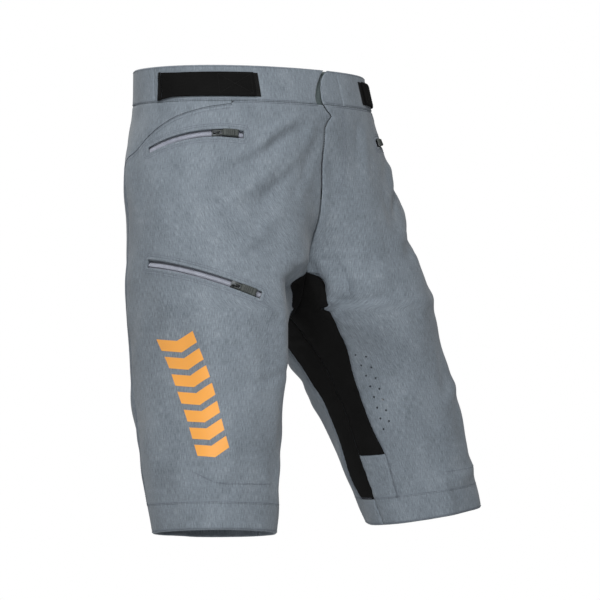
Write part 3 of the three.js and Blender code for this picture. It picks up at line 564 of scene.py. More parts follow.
# side, height in mm, half width in mm, points (s, z)
FOLDS = [
    (-1, 3.6, 8, [(0.05, -50), (0.107, -66), (0.164, -87), (0.216, -102), (0.29, -119)]),
    (-1, -2.4, 6, [(0.07, -70), (0.12, -88), (0.18, -106), (0.24, -122)]),
    (-1, 3.4, 8, [(0.08, -94), (0.136, -119), (0.199, -143), (0.285, -166)]),
    (-1, -2.2, 7, [(0.08, -122), (0.14, -142), (0.2, -166)]),
    (-1, 2.6, 8, [(0.08, -148), (0.146, -170), (0.215, -194), (0.3, -217)]),
    (-1, 1.2, 12, [(0.02, -205), (0.1, -214), (0.19, -236)]),
    (-1, -1.1, 9, [(0.03, -228), (0.1, -240), (0.17, -262)]),
    (-1, -1.3, 5, [(0.17, -349), (0.247, -363), (0.31, -370)]),
    (-1, 1.4, 14, [(0.16, -300), (0.2, -360), (0.2, -430)]),
    (-1, 1.3, 16, [(0.42, -270), (0.4, -350), (0.36, -440)]),
    (1, -4.2, 4.5, [(0.012, -226), (0.03, -246), (0.052, -272)]),
    (1, 3.4, 6, [(0.03, -222), (0.055, -248), (0.08, -290)]),
    (1, -4.0, 4.5, [(0.055, -222), (0.082, -250), (0.1, -284)]),
    (1, 2.2, 8, [(0.09, -215), (0.12, -245), (0.14, -280)]),
    (1, -2.2, 5, [(0.06, -268), (0.11, -273), (0.18, -262)]),
    (1, 1.5, 10, [(0.08, -250), (0.14, -245), (0.22, -225)]),
    (1, -0.9, 4, [(0.124, -46), (0.11, -70), (0.1, -96)]),
    (1, 1.0, 7, [(0.15, -50), (0.135, -85), (0.12, -120)]),
    (1, 3.4, 10, [(0.36, -90), (0.27, -118), (0.2, -150)]),
    (1, -2.6, 7, [(0.38, -124), (0.28, -142), (0.22, -168)]),
    (1, 3.4, 10, [(0.38, -156), (0.29, -175), (0.2, -200)]),
    (1, -2.2, 8, [(0.38, -188), (0.28, -205), (0.2, -226)]),
    (1, 2.6, 9, [(0.38, -262), (0.3, -272), (0.22, -270)]),
    (1, 2.4, 9, [(0.38, -372), (0.31, -384), (0.25, -404)]),
    (1, 2.6, 8, [(0.38, -478), (0.31, -486), (0.22, -492)]),
    (1, -2.4, 7, [(0.12, -492), (0.15, -515), (0.17, -533)]),
    (1, 2.2, 7, [(0.19, -485), (0.21, -510), (0.22, -533)]),
    (-1, 2.0, 7, [(0.02, -62), (0.06, -98), (0.12, -128), (0.2, -150)]),
    (-1, -1.8, 6, [(0.02, -90), (0.06, -130), (0.13, -168)]),
    (-1, 1.6, 5, [(0.26, -72), (0.31, -84), (0.37, -104)]),
    (-1, -1.5, 4, [(0.27, -84), (0.33, -100), (0.38, -120)]),
    (-1, 1.8, 8, [(0.12, -420), (0.16, -470), (0.17, -520)]),
    (-1, -1.6, 7, [(0.3, -470), (0.36, -500), (0.4, -530)]),
    (1, 1.4, 14, [(0.2, -300), (0.24, -360), (0.23, -430)]),
    (1, 1.2, 12, [(0.33, -330), (0.35, -400), (0.33, -470)]),
    (-1, 2.0, 9, [(0.985, -262), (0.9, -258), (0.8, -240)]),
    (1, 2.0, 9, [(0.985, -262), (0.9, -258), (0.8, -240)]),
    (-1, -1.8, 7, [(0.985, -240), (0.9, -232), (0.82, -214)]),
    (1, -1.8, 7, [(0.985, -240), (0.9, -234), (0.82, -212)]),
    (-1, 1.6, 12, [(0.95, -150), (0.86, -190), (0.78, -220)]),
    (1, 1.6, 12, [(0.95, -146), (0.87, -184), (0.77, -222)]),
    (-1, 1.8, 8, [(0.93, -345), (0.85, -352), (0.74, -342)]),
    (1, 1.8, 8, [(0.93, -341), (0.85, -350), (0.73, -345)]),
    (-1, -1.6, 7, [(0.93, -366), (0.84, -372), (0.75, -362)]),
    (1, -1.6, 7, [(0.93, -362), (0.84, -370), (0.75, -366)]),
    (-1, 1.3, 10, [(0.9, -395), (0.8, -402), (0.7, -395)]),
    (1, 1.3, 10, [(0.9, -392), (0.8, -400), (0.7, -398)]),
    (1, 1.7, 5, [(0.045, -300), (0.02, -312), (0.975, -320), (0.955, -318)]),
    (1, -1.4, 5, [(0.05, -330), (0.02, -338), (0.985, -345)]),
    (1, 1.4, 6, [(0.05, -368), (0.01, -376), (0.97, -384)]),
    (1, -1.2, 5, [(0.05, -400), (0.02, -405), (0.98, -414)]),
    (1, 1.2, 4, [(0.064, -462), (0.03, -468), (0.0, -482)]),
    (1, -1.3, 4, [(0.066, -476), (0.035, -484), (0.0, -492)]),
    (-1, 1.6, 5, [(0.05, -308), (0.02, -315), (0.98, -326)]),
    (-1, -1.4, 5, [(0.05, -350), (0.02, -356), (0.97, -362)]),
    (-1, 1.2, 4, [(0.064, -464), (0.03, -472), (0.0, -480)]),
    (-1, -0.7, 2.2, KNEE_LINE),
]


def fold_line(side, points, step=6.0):
    """A fold's line in the frame. A share that jumps past half a turn carries on round the leg."""
    rows = [list(points[0])]
    for s, z in points[1:]:
        last = rows[-1][0]
        rows.append([s + round(last - s), z])
    rows = np.array(rows)
    lengths = np.concatenate([[0], np.cumsum(np.hypot(np.diff(rows[:, 0]) * SHARE_MM, np.diff(rows[:, 1])))])
    at = np.linspace(0, lengths[-1], max(int(lengths[-1] / step), 2) + 1)
    return shell(side, np.interp(at, lengths, rows[:, 0]), np.interp(at, lengths, rows[:, 1]))


fold_lines = [(height, width, fold_line(side, points)) for side, height, width, points in FOLDS]
zip_lines = [path.point(np.linspace(0, path.length, 25), 0, TAPE_SINK) for path, _ in ZIPS.values()]


# %% One field of heights
def nearest_on(points, line):
    """Distance from each point to a line, and the share of the line's length that it lies at."""
    best = np.full(len(points), 1e9)
    share = np.zeros(len(points))
    for i in range(len(line) - 1):
        a, b = line[i], line[i + 1]
        t = np.clip((points - a) @ (b - a) / max((b - a) @ (b - a), 1e-9), 0, 1)
        gap = np.linalg.norm(points - a - t[:, None] * (b - a), axis=1)
        near = gap < best
        best = np.where(near, gap, best)
        share = np.where(near, (i + t) / (len(line) - 1), share)
    return best, share


waves = np.random.RandomState(11)
WAVES = []
for shortest, longest, height, count in [(70, 150, 0.55, 9), (22, 44, 0.16, 10)]:
    for _ in range(count):
        direction = waves.normal(size=3) * (1, 1, 0.7)
        direction /= np.linalg.norm(direction)
        WAVES.append((direction * 2 * math.pi / waves.uniform(shortest, longest), waves.uniform(0, 6.3), height))


def relief(place):
    """How far the cloth stands off the plain surface at each place, in mm."""
    points = place.reshape(-1, 3)
    height = np.zeros(len(points))
    for direction, phase, size in WAVES:
        height += size * np.sin(points @ direction + phase)
    for size, width, line in fold_lines:
        low, high = line.min(0) - 3.2 * width, line.max(0) + 3.2 * width
        near = np.flatnonzero(((points > low) & (points < high)).all(1))
        if len(near):
            gap, share = nearest_on(points[near], line)
            taper = np.sin(np.pi * np.clip(share * 0.9 + 0.05, 0, 1)) ** 0.7
            ridge, hollow = np.exp(-((gap / width) ** 2)), np.exp(-((gap / width - 1.9) ** 2))
            height[near] += size * taper * (ridge - 0.28 * hollow)
    calm = smooth(-points[:, 2], 46, 74)
    for line in zip_lines:
        near = np.flatnonzero((np.abs(points - line.mean(0)) < np.ptp(line, axis=0) / 2 + 40).all(1))
        if len(near):
            calm[near] *= smooth(nearest_on(points[near], line)[0], 11, 34)
    return (height * calm).reshape(place.shape[:-1])


def skin(side, s, z, out=0.0, soft=1.0):
    """Places on the folded cloth, out mm off its outer face, with the surface's normals."""
    base = shell(side, s, z)
    normal = outward(side, s, z)
    return base + normal * (relief(base) * soft + out)[..., None], normal


print("folds", len(FOLDS))


# %% [markdown]
# ## Cloth panels
# A panel is a fine grid bent onto the surface, with an inner face and a rim, so it is a closed piece of real
# thickness. The grid is finer at the edges, where the cloth rolls in towards the seam. Its UV map is in metres, and
# the flat size it was cut to is measured on the plain surface, before any fold.

# %% Grids, slabs and finishing a piece
def spacing(length, step, edge=(0, 0.35, 0.9, 1.8)):
    """Shares from one edge to the other, with small steps near both."""
    count = max(int(round((length - 2 * edge[-1]) / step)), 1)
    middle = np.linspace(edge[-1], length - edge[-1], count + 1)
    return np.concatenate([edge[:-1], middle, length - np.array(edge[:-1])[::-1]]) / length


def solid(name, points, faces, uv=None, smooth_faces=True):
    """A mesh object from points in mm."""
    mesh = bpy.data.meshes.new(name)
    mesh.from_pydata((np.asarray(points) * MM).tolist(), [], np.asarray(faces).tolist() if len(faces) else [])
    if uv is not None:
        layer = mesh.uv_layers.new(name="UVMap")
        corner = np.zeros(len(mesh.loops), np.int32)
        mesh.loops.foreach_get("vertex_index", corner)
        layer.data.foreach_set("uv", np.asarray(uv, np.float32)[corner].ravel())
    mesh.polygons.foreach_set("use_smooth", [smooth_faces] * len(mesh.polygons))
    piece = bpy.data.objects.new(name, mesh)
    scene.collection.objects.link(piece)
    return piece


def face_outwards(piece):
    """Turns every face of a closed piece outwards."""
    bm = bmesh.new()
    bm.from_mesh(piece.data)
    bmesh.ops.recalc_face_normals(bm, faces=bm.faces)
    bm.to_mesh(piece.data)
    bm.free()


def slab(name, outer, inner, uv, side=1):
    """A closed slab between two grids of points."""
    rows, columns = outer.shape[:2]
    index = np.arange(rows * columns).reshape(rows, columns)
    corners = [index[:-1, :-1], index[1:, :-1], index[1:, 1:], index[:-1, 1:]]
    front = np.stack([c.ravel() for c in corners], 1)
    ring = np.concatenate([index[0, :-1], index[:-1, -1], index[-1, :0:-1], index[:0:-1, 0]])
    ahead = np.roll(ring, -1)
    below = rows * columns
    rim = np.stack([ring, ahead, ahead + below, ring + below], 1)
    faces = np.concatenate([front, front[:, ::-1] + below, rim])
    if side < 0:
        faces = faces[:, ::-1]
    points = np.concatenate([outer.reshape(-1, 3), inner.reshape(-1, 3)])
    return solid(name, points, faces, np.tile(uv.reshape(-1, 2), (2, 1)))


def bake(piece):
    """Turns the piece with its modifiers into a plain mesh."""
    bpy.context.view_layer.update()
    mesh = bpy.data.meshes.new_from_object(piece.evaluated_get(bpy.context.evaluated_depsgraph_get()))
    piece.modifiers.clear()
    piece.data = mesh
    return piece


def settle(piece, finish, body, slot, *nodes):
    """Gives a finished piece its finish, its body and the nodes that it stands for; slot is not used."""
    if not len(piece.data.materials):
        piece.data.materials.append(FINISH[finish])
    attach(piece, body)
    if nodes:
        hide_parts(*nodes)
    return piece


# %% The panel maker
def constant(value):
    return value if callable(value) else lambda _: value + 0 * _


SHEETS = {}
GAP = 0.12
ROLL_WIDTH, SINK_WIDTH, PUCKER_WIDTH = 0.7, 1.7, 4.5
ROLL_SHARE = 0.42
FAR = 100


def panel(
    name, side, front, back, top, bottom,
    out=0.0, wall=1.2, step=3.0, soft=1.0, lift=None, pucker=0.22, seam=0.0, flat_edge=None,
):
    """A cloth panel between two side edges s(z) and two cross edges z(s).

    out is its outer face's height off the shell, soft its share of the folds, lift an extra height, pucker and
    seam what its edges do at a seam, and flat_edge an edge that neither rolls nor sinks.
    """
    front, back, top, bottom = (constant(edge) for edge in (front, back, top, bottom))
    mid_s = float(front(np.array(-250.0)) + back(np.array(-250.0))) / 2
    low, high = float(bottom(np.array(mid_s))), float(top(np.array(mid_s)))
    levels = np.linspace(low, high, 9)
    girth = float(np.max(back(levels) - front(levels))) * SHARE_MM
    u, v = np.meshgrid(spacing(max(girth, 5), step), spacing(max(high - low, 5), step))
    halfway = np.full(u.shape, (low + high) / 2)
    s = front(halfway) * (1 - u) + back(halfway) * u
    for _ in range(8):
        z = (top(s) - GAP) * (1 - v) + (bottom(s) + GAP) * v
        s = (front(z) + GAP / SHARE_MM) * (1 - u) + (back(z) - GAP / SHARE_MM) * u
    plain = shell(side, s, z)
    to_side = np.minimum(u, 1 - u) * (back(z) - front(z)) * SHARE_MM
    height = top(s) - bottom(s)
    to_top = v * height + (FAR if flat_edge == "top" else 0)
    to_bottom = (1 - v) * height + (FAR if flat_edge == "bottom" else 0)
    to_cross = np.minimum(to_top, to_bottom)
    edge = np.minimum(to_side, to_cross)
    roll = np.exp(-((edge / ROLL_WIDTH) ** 2))
    sink = seam * np.exp(-((edge / SINK_WIDTH) ** 2))
    run = np.where(to_side < to_cross, z, s * SHARE_MM)
    wander = np.sin(run * 0.82 + 1.7 * np.sin(run * 0.21))
    ripple = pucker * np.exp(-((edge / PUCKER_WIDTH) ** 2)) * wander
    face = out + ripple - sink + (0 if lift is None else lift(s, z))
    points, normal = skin(side, s, z, 0.0, soft)
    outer = points + normal * (face - wall * ROLL_SHARE * roll)[..., None]
    inner = points + normal * (face - wall + wall * ROLL_SHARE * roll)[..., None]
    piece = slab(name, outer, inner, np.stack([s * GIRTH, z * MM], -1), side)
    rows = np.linalg.norm(np.diff(plain, axis=1), axis=-1).sum(1)
    columns = np.linalg.norm(np.diff(plain, axis=0), axis=-1).sum(0)
    cells = np.cross(plain[1:, :-1] - plain[:-1, :-1], plain[:-1, 1:] - plain[:-1, :-1])
    area = np.linalg.norm(cells, axis=-1).sum()
    SHEETS[name] = (rows.max() * MM, columns.max() * MM, area * MM * MM)
    return piece


def declare(piece):
    """Says what flat size a sheet of cloth was cut to."""
    width, length, area = SHEETS[piece.name]
    round(min(area, width * length * 0.999), 6)
    print(piece.name, "cut from", round(width, 3), "x", round(length, 3), "m, area", round(area, 4))


# %% Seam lines
yoke_seam = curve([(0.25, -45), (0.35, -52), (0.45, -67), (0.5, -81), (0.55, -99), (0.6, -109), (0.8, -126), (1, -131)])
SIDE_SEAM = 0.6
GUSSET_TOP, GUSSET_BOTTOM = -237, -452
CLOTH_WALL = 1.2
SEAM_SINK = 0.55
gusset_front_edge = curve(
    [
        (237, 0.003), (243, 0.03), (249, 0.04), (261, 0.047), (273, 0.063), (279, 0.081), (285, 0.092), (291, 0.09),
        (309, 0.08), (323, 0.075), (359, 0.056), (423, 0.056), (452, 0.066), (490, 0.066),
    ]
)
gusset_tucked = curve([(237, 0), (247, 0.05), (265, 0.034), (280, 0.021), (323, 0.005), (359, 0)])
gusset_back_edge = curve(
    [(237, 0.997), (265, 0.965), (280, 0.948), (297, 0.932), (359, 0.94), (452, 0.945), (490, 0.932), (503, 0.94)]
)
fly_edge = curve([(-200, 0), (-120, 0), (-90, 2), (-70, 4), (-61, 8), (-55, 13), (-50, 8), (-45, 3.5), (-42, 2)])


def panel_top(s):
    return np.where(s > 0.245, yoke_seam(s), -BAND)


def leg_edge(side, z):
    """The gusset's front edge; the right thigh's tuck draws it further forward."""
    return gusset_front_edge(-z) + (gusset_tucked(-z) if side < 0 else 0)


def gusset_front(z):
    return np.where(z > GUSSET_TOP, share_at(fly_edge(z)), leg_edge(1, z))


def gusset_front_right(z):
    return np.where(z > GUSSET_TOP, -share_at(fly_edge(z)), leg_edge(-1, z))


def gusset_back(z):
    return np.where(z > GUSSET_TOP, 1.0, gusset_back_edge(-z))


# %% [markdown]
# ## Openings
# The zips lie in slots, and the inner front of each thigh has two columns of vent holes. Both are cut through the
# panel with a boolean, because a real opening shows the layer below it. The holes' cutters are pins on points, made
# by Geometry Nodes, and the same tree makes zip teeth and silicone dots.

# %% Geometry Nodes: pins on points
def new_tree(name, inputs):
    """A Geometry Nodes tree with its named inputs, and the wires that carry them."""
    tree = bpy.data.node_groups.new(name, "GeometryNodeTree")
    tree.interface.new_socket("Geometry", in_out="INPUT", socket_type="NodeSocketGeometry")
    for key, kind in inputs.items():
        tree.interface.new_socket(key, in_out="INPUT", socket_type=kind)
    tree.interface.new_socket("Geometry", in_out="OUTPUT", socket_type="NodeSocketGeometry")
    net = Net(tree)
    source = tree.nodes.new("NodeGroupInput")
    wires = {socket.name: Wire(net, socket) for socket in source.outputs if socket.name}
    return tree, net, wires


def close_tree(net, shape, finish):
    """Ends a tree with Realize Instances and Set Material."""
    real = net.add("GeometryNodeRealizeInstances", {}, {"Geometry": shape})
    dressed = net.add("GeometryNodeSetMaterial", {}, {"Geometry": real, "Material": finish})
    net.add("NodeGroupOutput", {}, {0: dressed})


pin_tree, net, given = new_tree(
    "pins on points",
    {"Radius": "NodeSocketFloat", "Depth": "NodeSocketFloat", "Sides": "NodeSocketInt", "Finish": "NodeSocketMaterial"},
)
facing = net.add("GeometryNodeInputNamedAttribute", {"data_type": "FLOAT_VECTOR"}, {"Name": "facing"})
turn = net.add("FunctionNodeAlignRotationToVector", {"axis": "Z"}, {"Vector": facing})
shape = {"Vertices": given["Sides"], "Radius": given["Radius"], "Depth": given["Depth"]}
pin = net.add("GeometryNodeMeshCylinder", {}, shape)
points = net.add("GeometryNodeMeshToPoints", {}, {"Mesh": given["Geometry"]})
placed = net.add("GeometryNodeInstanceOnPoints", {}, {"Points": points, "Instance": pin, "Rotation": turn})
close_tree(net, placed, given["Finish"])


# %% Geometry Nodes: a row of stitches
stitch_tree, net, given = new_tree(
    "row of stitches",
    {"Pitch": "NodeSocketFloat", "Thread": "NodeSocketFloat", "Finish": "NodeSocketMaterial"},
)
path = net.add("GeometryNodeMeshToCurve", {}, {"Mesh": given["Geometry"]})
fine = net.add("GeometryNodeResampleCurve", {"mode": "LENGTH"}, {"Curve": path, "Length": given["Pitch"] * 0.25})
chain = net.add("GeometryNodeCurveToMesh", {}, {"Curve": fine})
order = net.add("GeometryNodeInputIndex").math("MODULO", 4)
edges_only = {"domain": "EDGE", "mode": "EDGE_FACE"}
dashes = net.add("GeometryNodeDeleteGeometry", edges_only, {"Geometry": chain, "Selection": order > 2.5})
runs = net.add("GeometryNodeMeshToCurve", {}, {"Mesh": dashes})
round_thread = net.add("GeometryNodeCurvePrimitiveCircle", {}, {"Resolution": 5, "Radius": given["Thread"]})
thread = net.add("GeometryNodeCurveToMesh", {}, {"Curve": runs, "Profile Curve": round_thread, "Fill Caps": True})
shaded = net.add("GeometryNodeSetShadeSmooth", {}, {"Geometry": thread})
close_tree(net, shaded, given["Finish"])


def grow(piece, tree, **values):
    """Runs a Geometry Nodes tree on a piece and keeps the plain mesh."""
    modifier = piece.modifiers.new(tree.name, "NODES")
    modifier.node_group = tree
    for item in tree.interface.items_tree:
        if item.in_out == "INPUT" and item.name in values:
            modifier[item.identifier] = values[item.name]
    return bake(piece)


def pins(name, places, directions, radius, depth, sides, finish):
    """One pin at each place, in mm, along its direction."""
    piece = solid(name, places, [])
    facing = piece.data.attributes.new("facing", "FLOAT_VECTOR", "POINT")
    facing.data.foreach_set("vector", np.asarray(directions, np.float32).ravel())
    return grow(piece, pin_tree, Radius=radius * MM, Depth=depth * MM, Sides=sides, Finish=FINISH[finish])


def stitches(name, lines, finish="thread", pitch=2.8, thread=0.24):
    """Rows of stitches along lines of points, in mm."""
    points = np.concatenate(lines)
    mesh = bpy.data.meshes.new(name)
    starts = np.cumsum([0] + [len(line) for line in lines])
    links = [(i, i + 1) for a, b in zip(starts[:-1], starts[1:]) for i in range(a, b - 1)]
    mesh.from_pydata((points * MM).tolist(), links, [])
    piece = bpy.data.objects.new(name, mesh)
    scene.collection.objects.link(piece)
    grow(piece, stitch_tree, Pitch=pitch * MM, Thread=thread * MM, Finish=FINISH[finish])
    return piece


# %% Cutting openings
def carve(piece, cutter):
    """Cuts the cutter's shape out of a piece."""
    cut = piece.modifiers.new("opening", "BOOLEAN")
    cut.operation = "DIFFERENCE"
    cut.solver = "EXACT"
    cut.object = cutter
    bake(piece)
    bpy.data.objects.remove(cutter)
    piece.data.set_sharp_from_angle(angle=math.radians(40))
    return piece


SLOT_HALF = 5.5


def slot_outline(path, half=SLOT_HALF, steps=48, corner=2.2):
    """Distance and across of a slot's outline, a long rectangle with round corners, counted once round."""
    start, end = 2.0, path.length - 2.0
    turn = np.linspace(0, math.pi / 2, 5)
    ends = []
    near, far, side = start + corner, end - corner, half - corner
    for quarter, (cx, cy) in enumerate([(far, side), (near, side), (near, -side), (far, -side)]):
        angle = turn + quarter * math.pi / 2
        ends.append(np.stack([cx + corner * np.cos(angle), cy + corner * np.sin(angle)], 1))
    upper = np.stack([np.linspace(far, near, steps)[1:-1], np.full(steps - 2, half)], 1)
    lower = np.stack([np.linspace(near, far, steps)[1:-1], np.full(steps - 2, -half)], 1)
    return np.concatenate([ends[0], upper, ends[1], ends[2], lower, ends[3]])


def slot_cutter(path):
    """A solid that fills the slot from below the tape to above the cloth."""
    outline = slot_outline(path)
    count = len(outline)
    low = path.point(outline[:, 0], outline[:, 1], -2)
    high = path.point(outline[:, 0], outline[:, 1], 16)
    ring = np.arange(count)
    ahead = np.roll(ring, -1)
    sides = [[a, b, b + count, a + count] for a, b in zip(ring, ahead)]
    half = count // 2
    caps = [[a, b, count - 1 - b, count - 1 - a] for a, b in zip(range(half - 1), range(1, half))]
    top = [[i + count for i in face] for face in caps]
    faces = sides + [face[::-1] for face in caps] + top
    cutter = solid("slot cutter", np.concatenate([low, high]), faces, smooth_faces=False)
    face_outwards(cutter)
    return cutter


# %% [markdown]
# ## Front, back, yoke and gusset panels
# The front panels run from the fly to the side seam, the back panels from the side seam to the inseam, and the yoke
# lies between the waistband and the curved seam below the hip. A black stretch gusset runs down the inner thigh. The
# wearer's left front lies over the right one at the fly, so it is lifted a little there.

# %% Front panels
def fly_lift(amount):
    def lift(s, z):
        fade = smooth(-z, 36, 46) * (1 - smooth(-z, 190, 232))
        return amount * fade * np.exp(-((s * SHARE_MM / 13) ** 2))
    return lift


VENTS = [(0.083, np.linspace(-335, -423, 8)), (0.101, np.linspace(-338, -414, 7))]
fronts = {}
for hand, side, edge, amount in [("right", -1, gusset_front_right, -0.7), ("left", 1, gusset_front, 1.1)]:
    front = panel(
        f"front_cloth_{hand}", side, edge, SIDE_SEAM, panel_top, HEM_FOLD,
        lift=fly_lift(amount), step=2.8, seam=SEAM_SINK, flat_edge="bottom",
    )
    corners = [v.co.copy() for v in front.data.vertices]
    touch = BVHTree.FromPolygons(corners, [p.vertices[:] for p in front.data.polygons])
    fronts[hand] = (front, touch)
    for name, (path, zip_side) in ZIPS.items():
        if zip_side == side:
            carve(front, slot_cutter(path))
    s = np.concatenate([np.full(len(z), column) for column, z in VENTS])
    z = np.concatenate([z for _, z in VENTS])
    places, directions = skin(side, s, z)
    carve(front, pins("vent cutter", places, directions, 1.25, 8, 12, "shell"))
    node = f"front_panel_{hand}"
    settle(front, "printed shell" if side < 0 else "shell", "shell", "shell_cloth", node)
    declare(front)
    print(front.name, "faces", len(front.data.polygons))

# %% Backs, yokes, gussets and hems
for hand, side in SIDES:
    inseam_front = lambda z: leg_edge(side, z)
    inseam_back = lambda z: gusset_back_edge(-z)
    made = [
        ("back_cloth", "back_panel", SIDE_SEAM, gusset_back, yoke_seam, HEM_FOLD, "shell", 3.0),
        ("yoke_cloth", "back_yoke", 0.25, 1, -BAND, yoke_seam, "shell", 3.0),
        ("gusset_front", "inner_front_stretch", 0, inseam_front, GUSSET_TOP, GUSSET_BOTTOM, "stretch", 2.2),
        ("gusset_back", "inner_back_stretch", inseam_back, 1, GUSSET_TOP, HEM_FOLD, "stretch", 2.2),
        ("knee_cloth", "inner_knee_panel", 0, inseam_front, GUSSET_BOTTOM, HEM_FOLD, "shell", 2.0),
        ("hem_cloth", "hem_band", 0, 1, HEM_FOLD, -HEM, "shell", 2.6),
    ]
    for stem, node, front, back_edge, top, bottom, finish, step in made:
        hem = stem == "hem_cloth"
        piece = panel(
            f"{stem}_{hand}", side, front, back_edge, top, bottom, wall=2 * CLOTH_WALL if hem else CLOTH_WALL,
            step=step, seam=SEAM_SINK, flat_edge="top" if hem else "bottom",
        )
        slot = "stretch" if finish == "stretch" else "shell_cloth"
        settle(piece, finish, "shell", slot, f"{node}_{hand}")
        declare(piece)

# %% [markdown]
# ## Waistband, tab and what lies under them
# The waistband is a folded strip, stiffer than the panels, so it carries no folds. The wearer's left end is a tab
# with a curved edge that snaps over the underlap. A mesh lining with a silicone grip strip lies inside.

# %% Waistband
TAB_LENGTH = 38
tab_edge_line = curve([(-42, 2), (-38, 0.6), (-32, 0.5), (-20, 3), (-10, 8.5), (-4, 15), (0, 21)])
right_end_line = curve([(-42, -8), (-34, -8.5), (-24, -4.5), (-14, 1.5), (-7, 7), (0, 15)])
BAND_PIECES = [
    ("band_front_right", "waistband_front_right", -1, lambda z: -share_at(right_end_line(z)), 0.5, "shell"),
    ("band_front_left", "waistband_front_left", 1, share_at(TAB_LENGTH), 0.5, "shell"),
    ("band_back_right", "waistband_back_right", -1, 0.5, 1, "shell"),
    ("band_back_left", "waistband_back_left", 1, 0.5, 1, "shell"),
    ("tab_cloth", "front_tab", 1, lambda z: share_at(tab_edge_line(z)), share_at(TAB_LENGTH), "tab"),
]
for name, node, side, front, back_edge, body in BAND_PIECES:
    piece = panel(name, side, front, back_edge, -0.15, -BAND, wall=2.0, step=3.0, pucker=0.12)
    settle(piece, "shell", body, "shell_cloth", node)
    declare(piece)

# %% Underlap, lining, grip strips, label and fly parts
BAG_OUT = -10.5
# piece, node, side, front, back, top, bottom, out, wall, finish
LAYERS = [
    ("underlap_cloth", "front_underlap", 1, -share_at(11), share_at(32), -0.4, -BAND + 1, -5.2, 1.6, "underlap"),
    ("fly_facing_cloth", "fly_facing", 1, share_at(3), share_at(40), -46, -150, -2.4, 0.8, "lining"),
    ("label_cloth", "care_label", 1, 0.86, 0.93, -45, -85, -2.4, 0.6, "label"),
]
for hand, side in SIDES:
    LAYERS += [
        (f"lining_cloth_{hand}", f"waist_lining_{hand}", side, 0.14, 1, -2, -BAND + 2, -2.4, 1.0, "lining"),
        (f"grip_strip_{hand}", f"waist_gripper_{hand}", side, 0.16, 0.95, -13, -29, -4.2, 0.8, "silicone"),
        (f"hip_bag_{hand}", f"hip_pocket_bag_{hand}", side, 0.2, 0.46, -70, -225, BAG_OUT, 1.6, "pocketing"),
    ]
LAYERS.append(("thigh_bag", "thigh_pocket_bag", -1, 0.29, 0.5, -245, -400, BAG_OUT, 1.6, "pocketing"))
for name, node, side, front, back_edge, top, bottom, out, wall, finish in LAYERS:
    soft = 0.0 if out == BAG_OUT else 1.0
    piece = panel(name, side, front, back_edge, top, bottom, out=out, wall=wall, step=4.0, soft=soft, pucker=0.1)
    settle(piece, finish, "shell", "dark_shell" if finish == "underlap" else finish, node)
    declare(piece)

# %% Fly shield
low, high = (np.array(corner) * 1000 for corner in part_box("fly_shield"))
u, v = np.meshgrid(spacing(high[0] - low[0], 4.0), spacing(high[2] - low[2], 4.0))
x = low[0] + u * (high[0] - low[0])
z = high[2] - v * (high[2] - low[2])
sway = 0.25 * np.sin(z * 0.11) * np.sin(math.pi * u)
front_y = low[1] + 0.3 + sway
shield = slab(
    "fly_shield_cloth",
    np.stack([x, front_y, z], -1),
    np.stack([x, front_y + 0.8, z], -1),
    np.stack([x * MM, z * MM], -1),
)
width, _, length = high - low
SHEETS[shield.name] = (width * MM, length * MM, width * length * MM * MM)
settle(shield, "underlap", "shell", "dark_shell", "fly_shield")
declare(shield)

# %% [markdown]
# ## Waist adjusters
# A webbing strap is sewn into the waistband behind the hip and sticks to a patch of loops further forward, through
# hooks under its end. The strap widens a little at its sewn root. The hooks and the strap peel off together.

# %% Straps
STRAP_MIDDLE = -23
STRAP_HALF = 14
STRAP_LENGTH = 111
strap_end = share_at(root_length - STRAP_LENGTH)
flare = curve([(ROOT - 0.06, 0), (ROOT - 0.03, 1.0), (ROOT, 3.0)])
slanted = curve([(-41, 0.0), (-6, -3.0)])
strap_top = lambda s: STRAP_MIDDLE + STRAP_HALF + flare(s) * 0.3
strap_bottom = lambda s: STRAP_MIDDLE - STRAP_HALF - flare(s)
anchor_front = share_at(root_length + 1.2)
anchor_back = lambda z: share_at(root_length + 7.5 + slanted(z))
for hand, side in SIDES:
    strap = f"adjuster_{hand}"
    made = [
        ("loop_tape", "loop_patch", share_at(root_length - 117), ROOT, -9, -37, 1.2, 1.0, "loop", "shell"),
        ("hook_tape", "hook_patch", strap_end + 0.004, share_at(root_length - 71), -10, -36, 2.1, 0.8, "hook", strap),
        ("strap_webbing", "adjuster_strap", strap_end, ROOT, strap_top, strap_bottom, 3.4, 1.2, "webbing", strap),
        ("strap_root", "adjuster_anchor", anchor_front, anchor_back, -7.5, -41, 3.4, 3.2, "webbing", "shell"),
    ]
    for stem, node, front, back_edge, top, bottom, out, wall, finish, body in made:
        edges = (front, back_edge, top, bottom)
        piece = panel(f"{stem}_{hand}", side, *edges, out=out, wall=wall, step=2.5, pucker=0.03)
        settle(piece, finish, body, finish, f"{node}_{hand}")
        if stem != "strap_root":
            declare(piece)

# %% [markdown]
# ## Zips
# The tape is woven and keeps the part's shape. The coil is a row of interlocking teeth on each side of the middle,
# pins on points again. Sliders and pulls are copies of the part's solids with their edges rounded, and a rolled welt
# of shell cloth finishes each slot down to the tape.

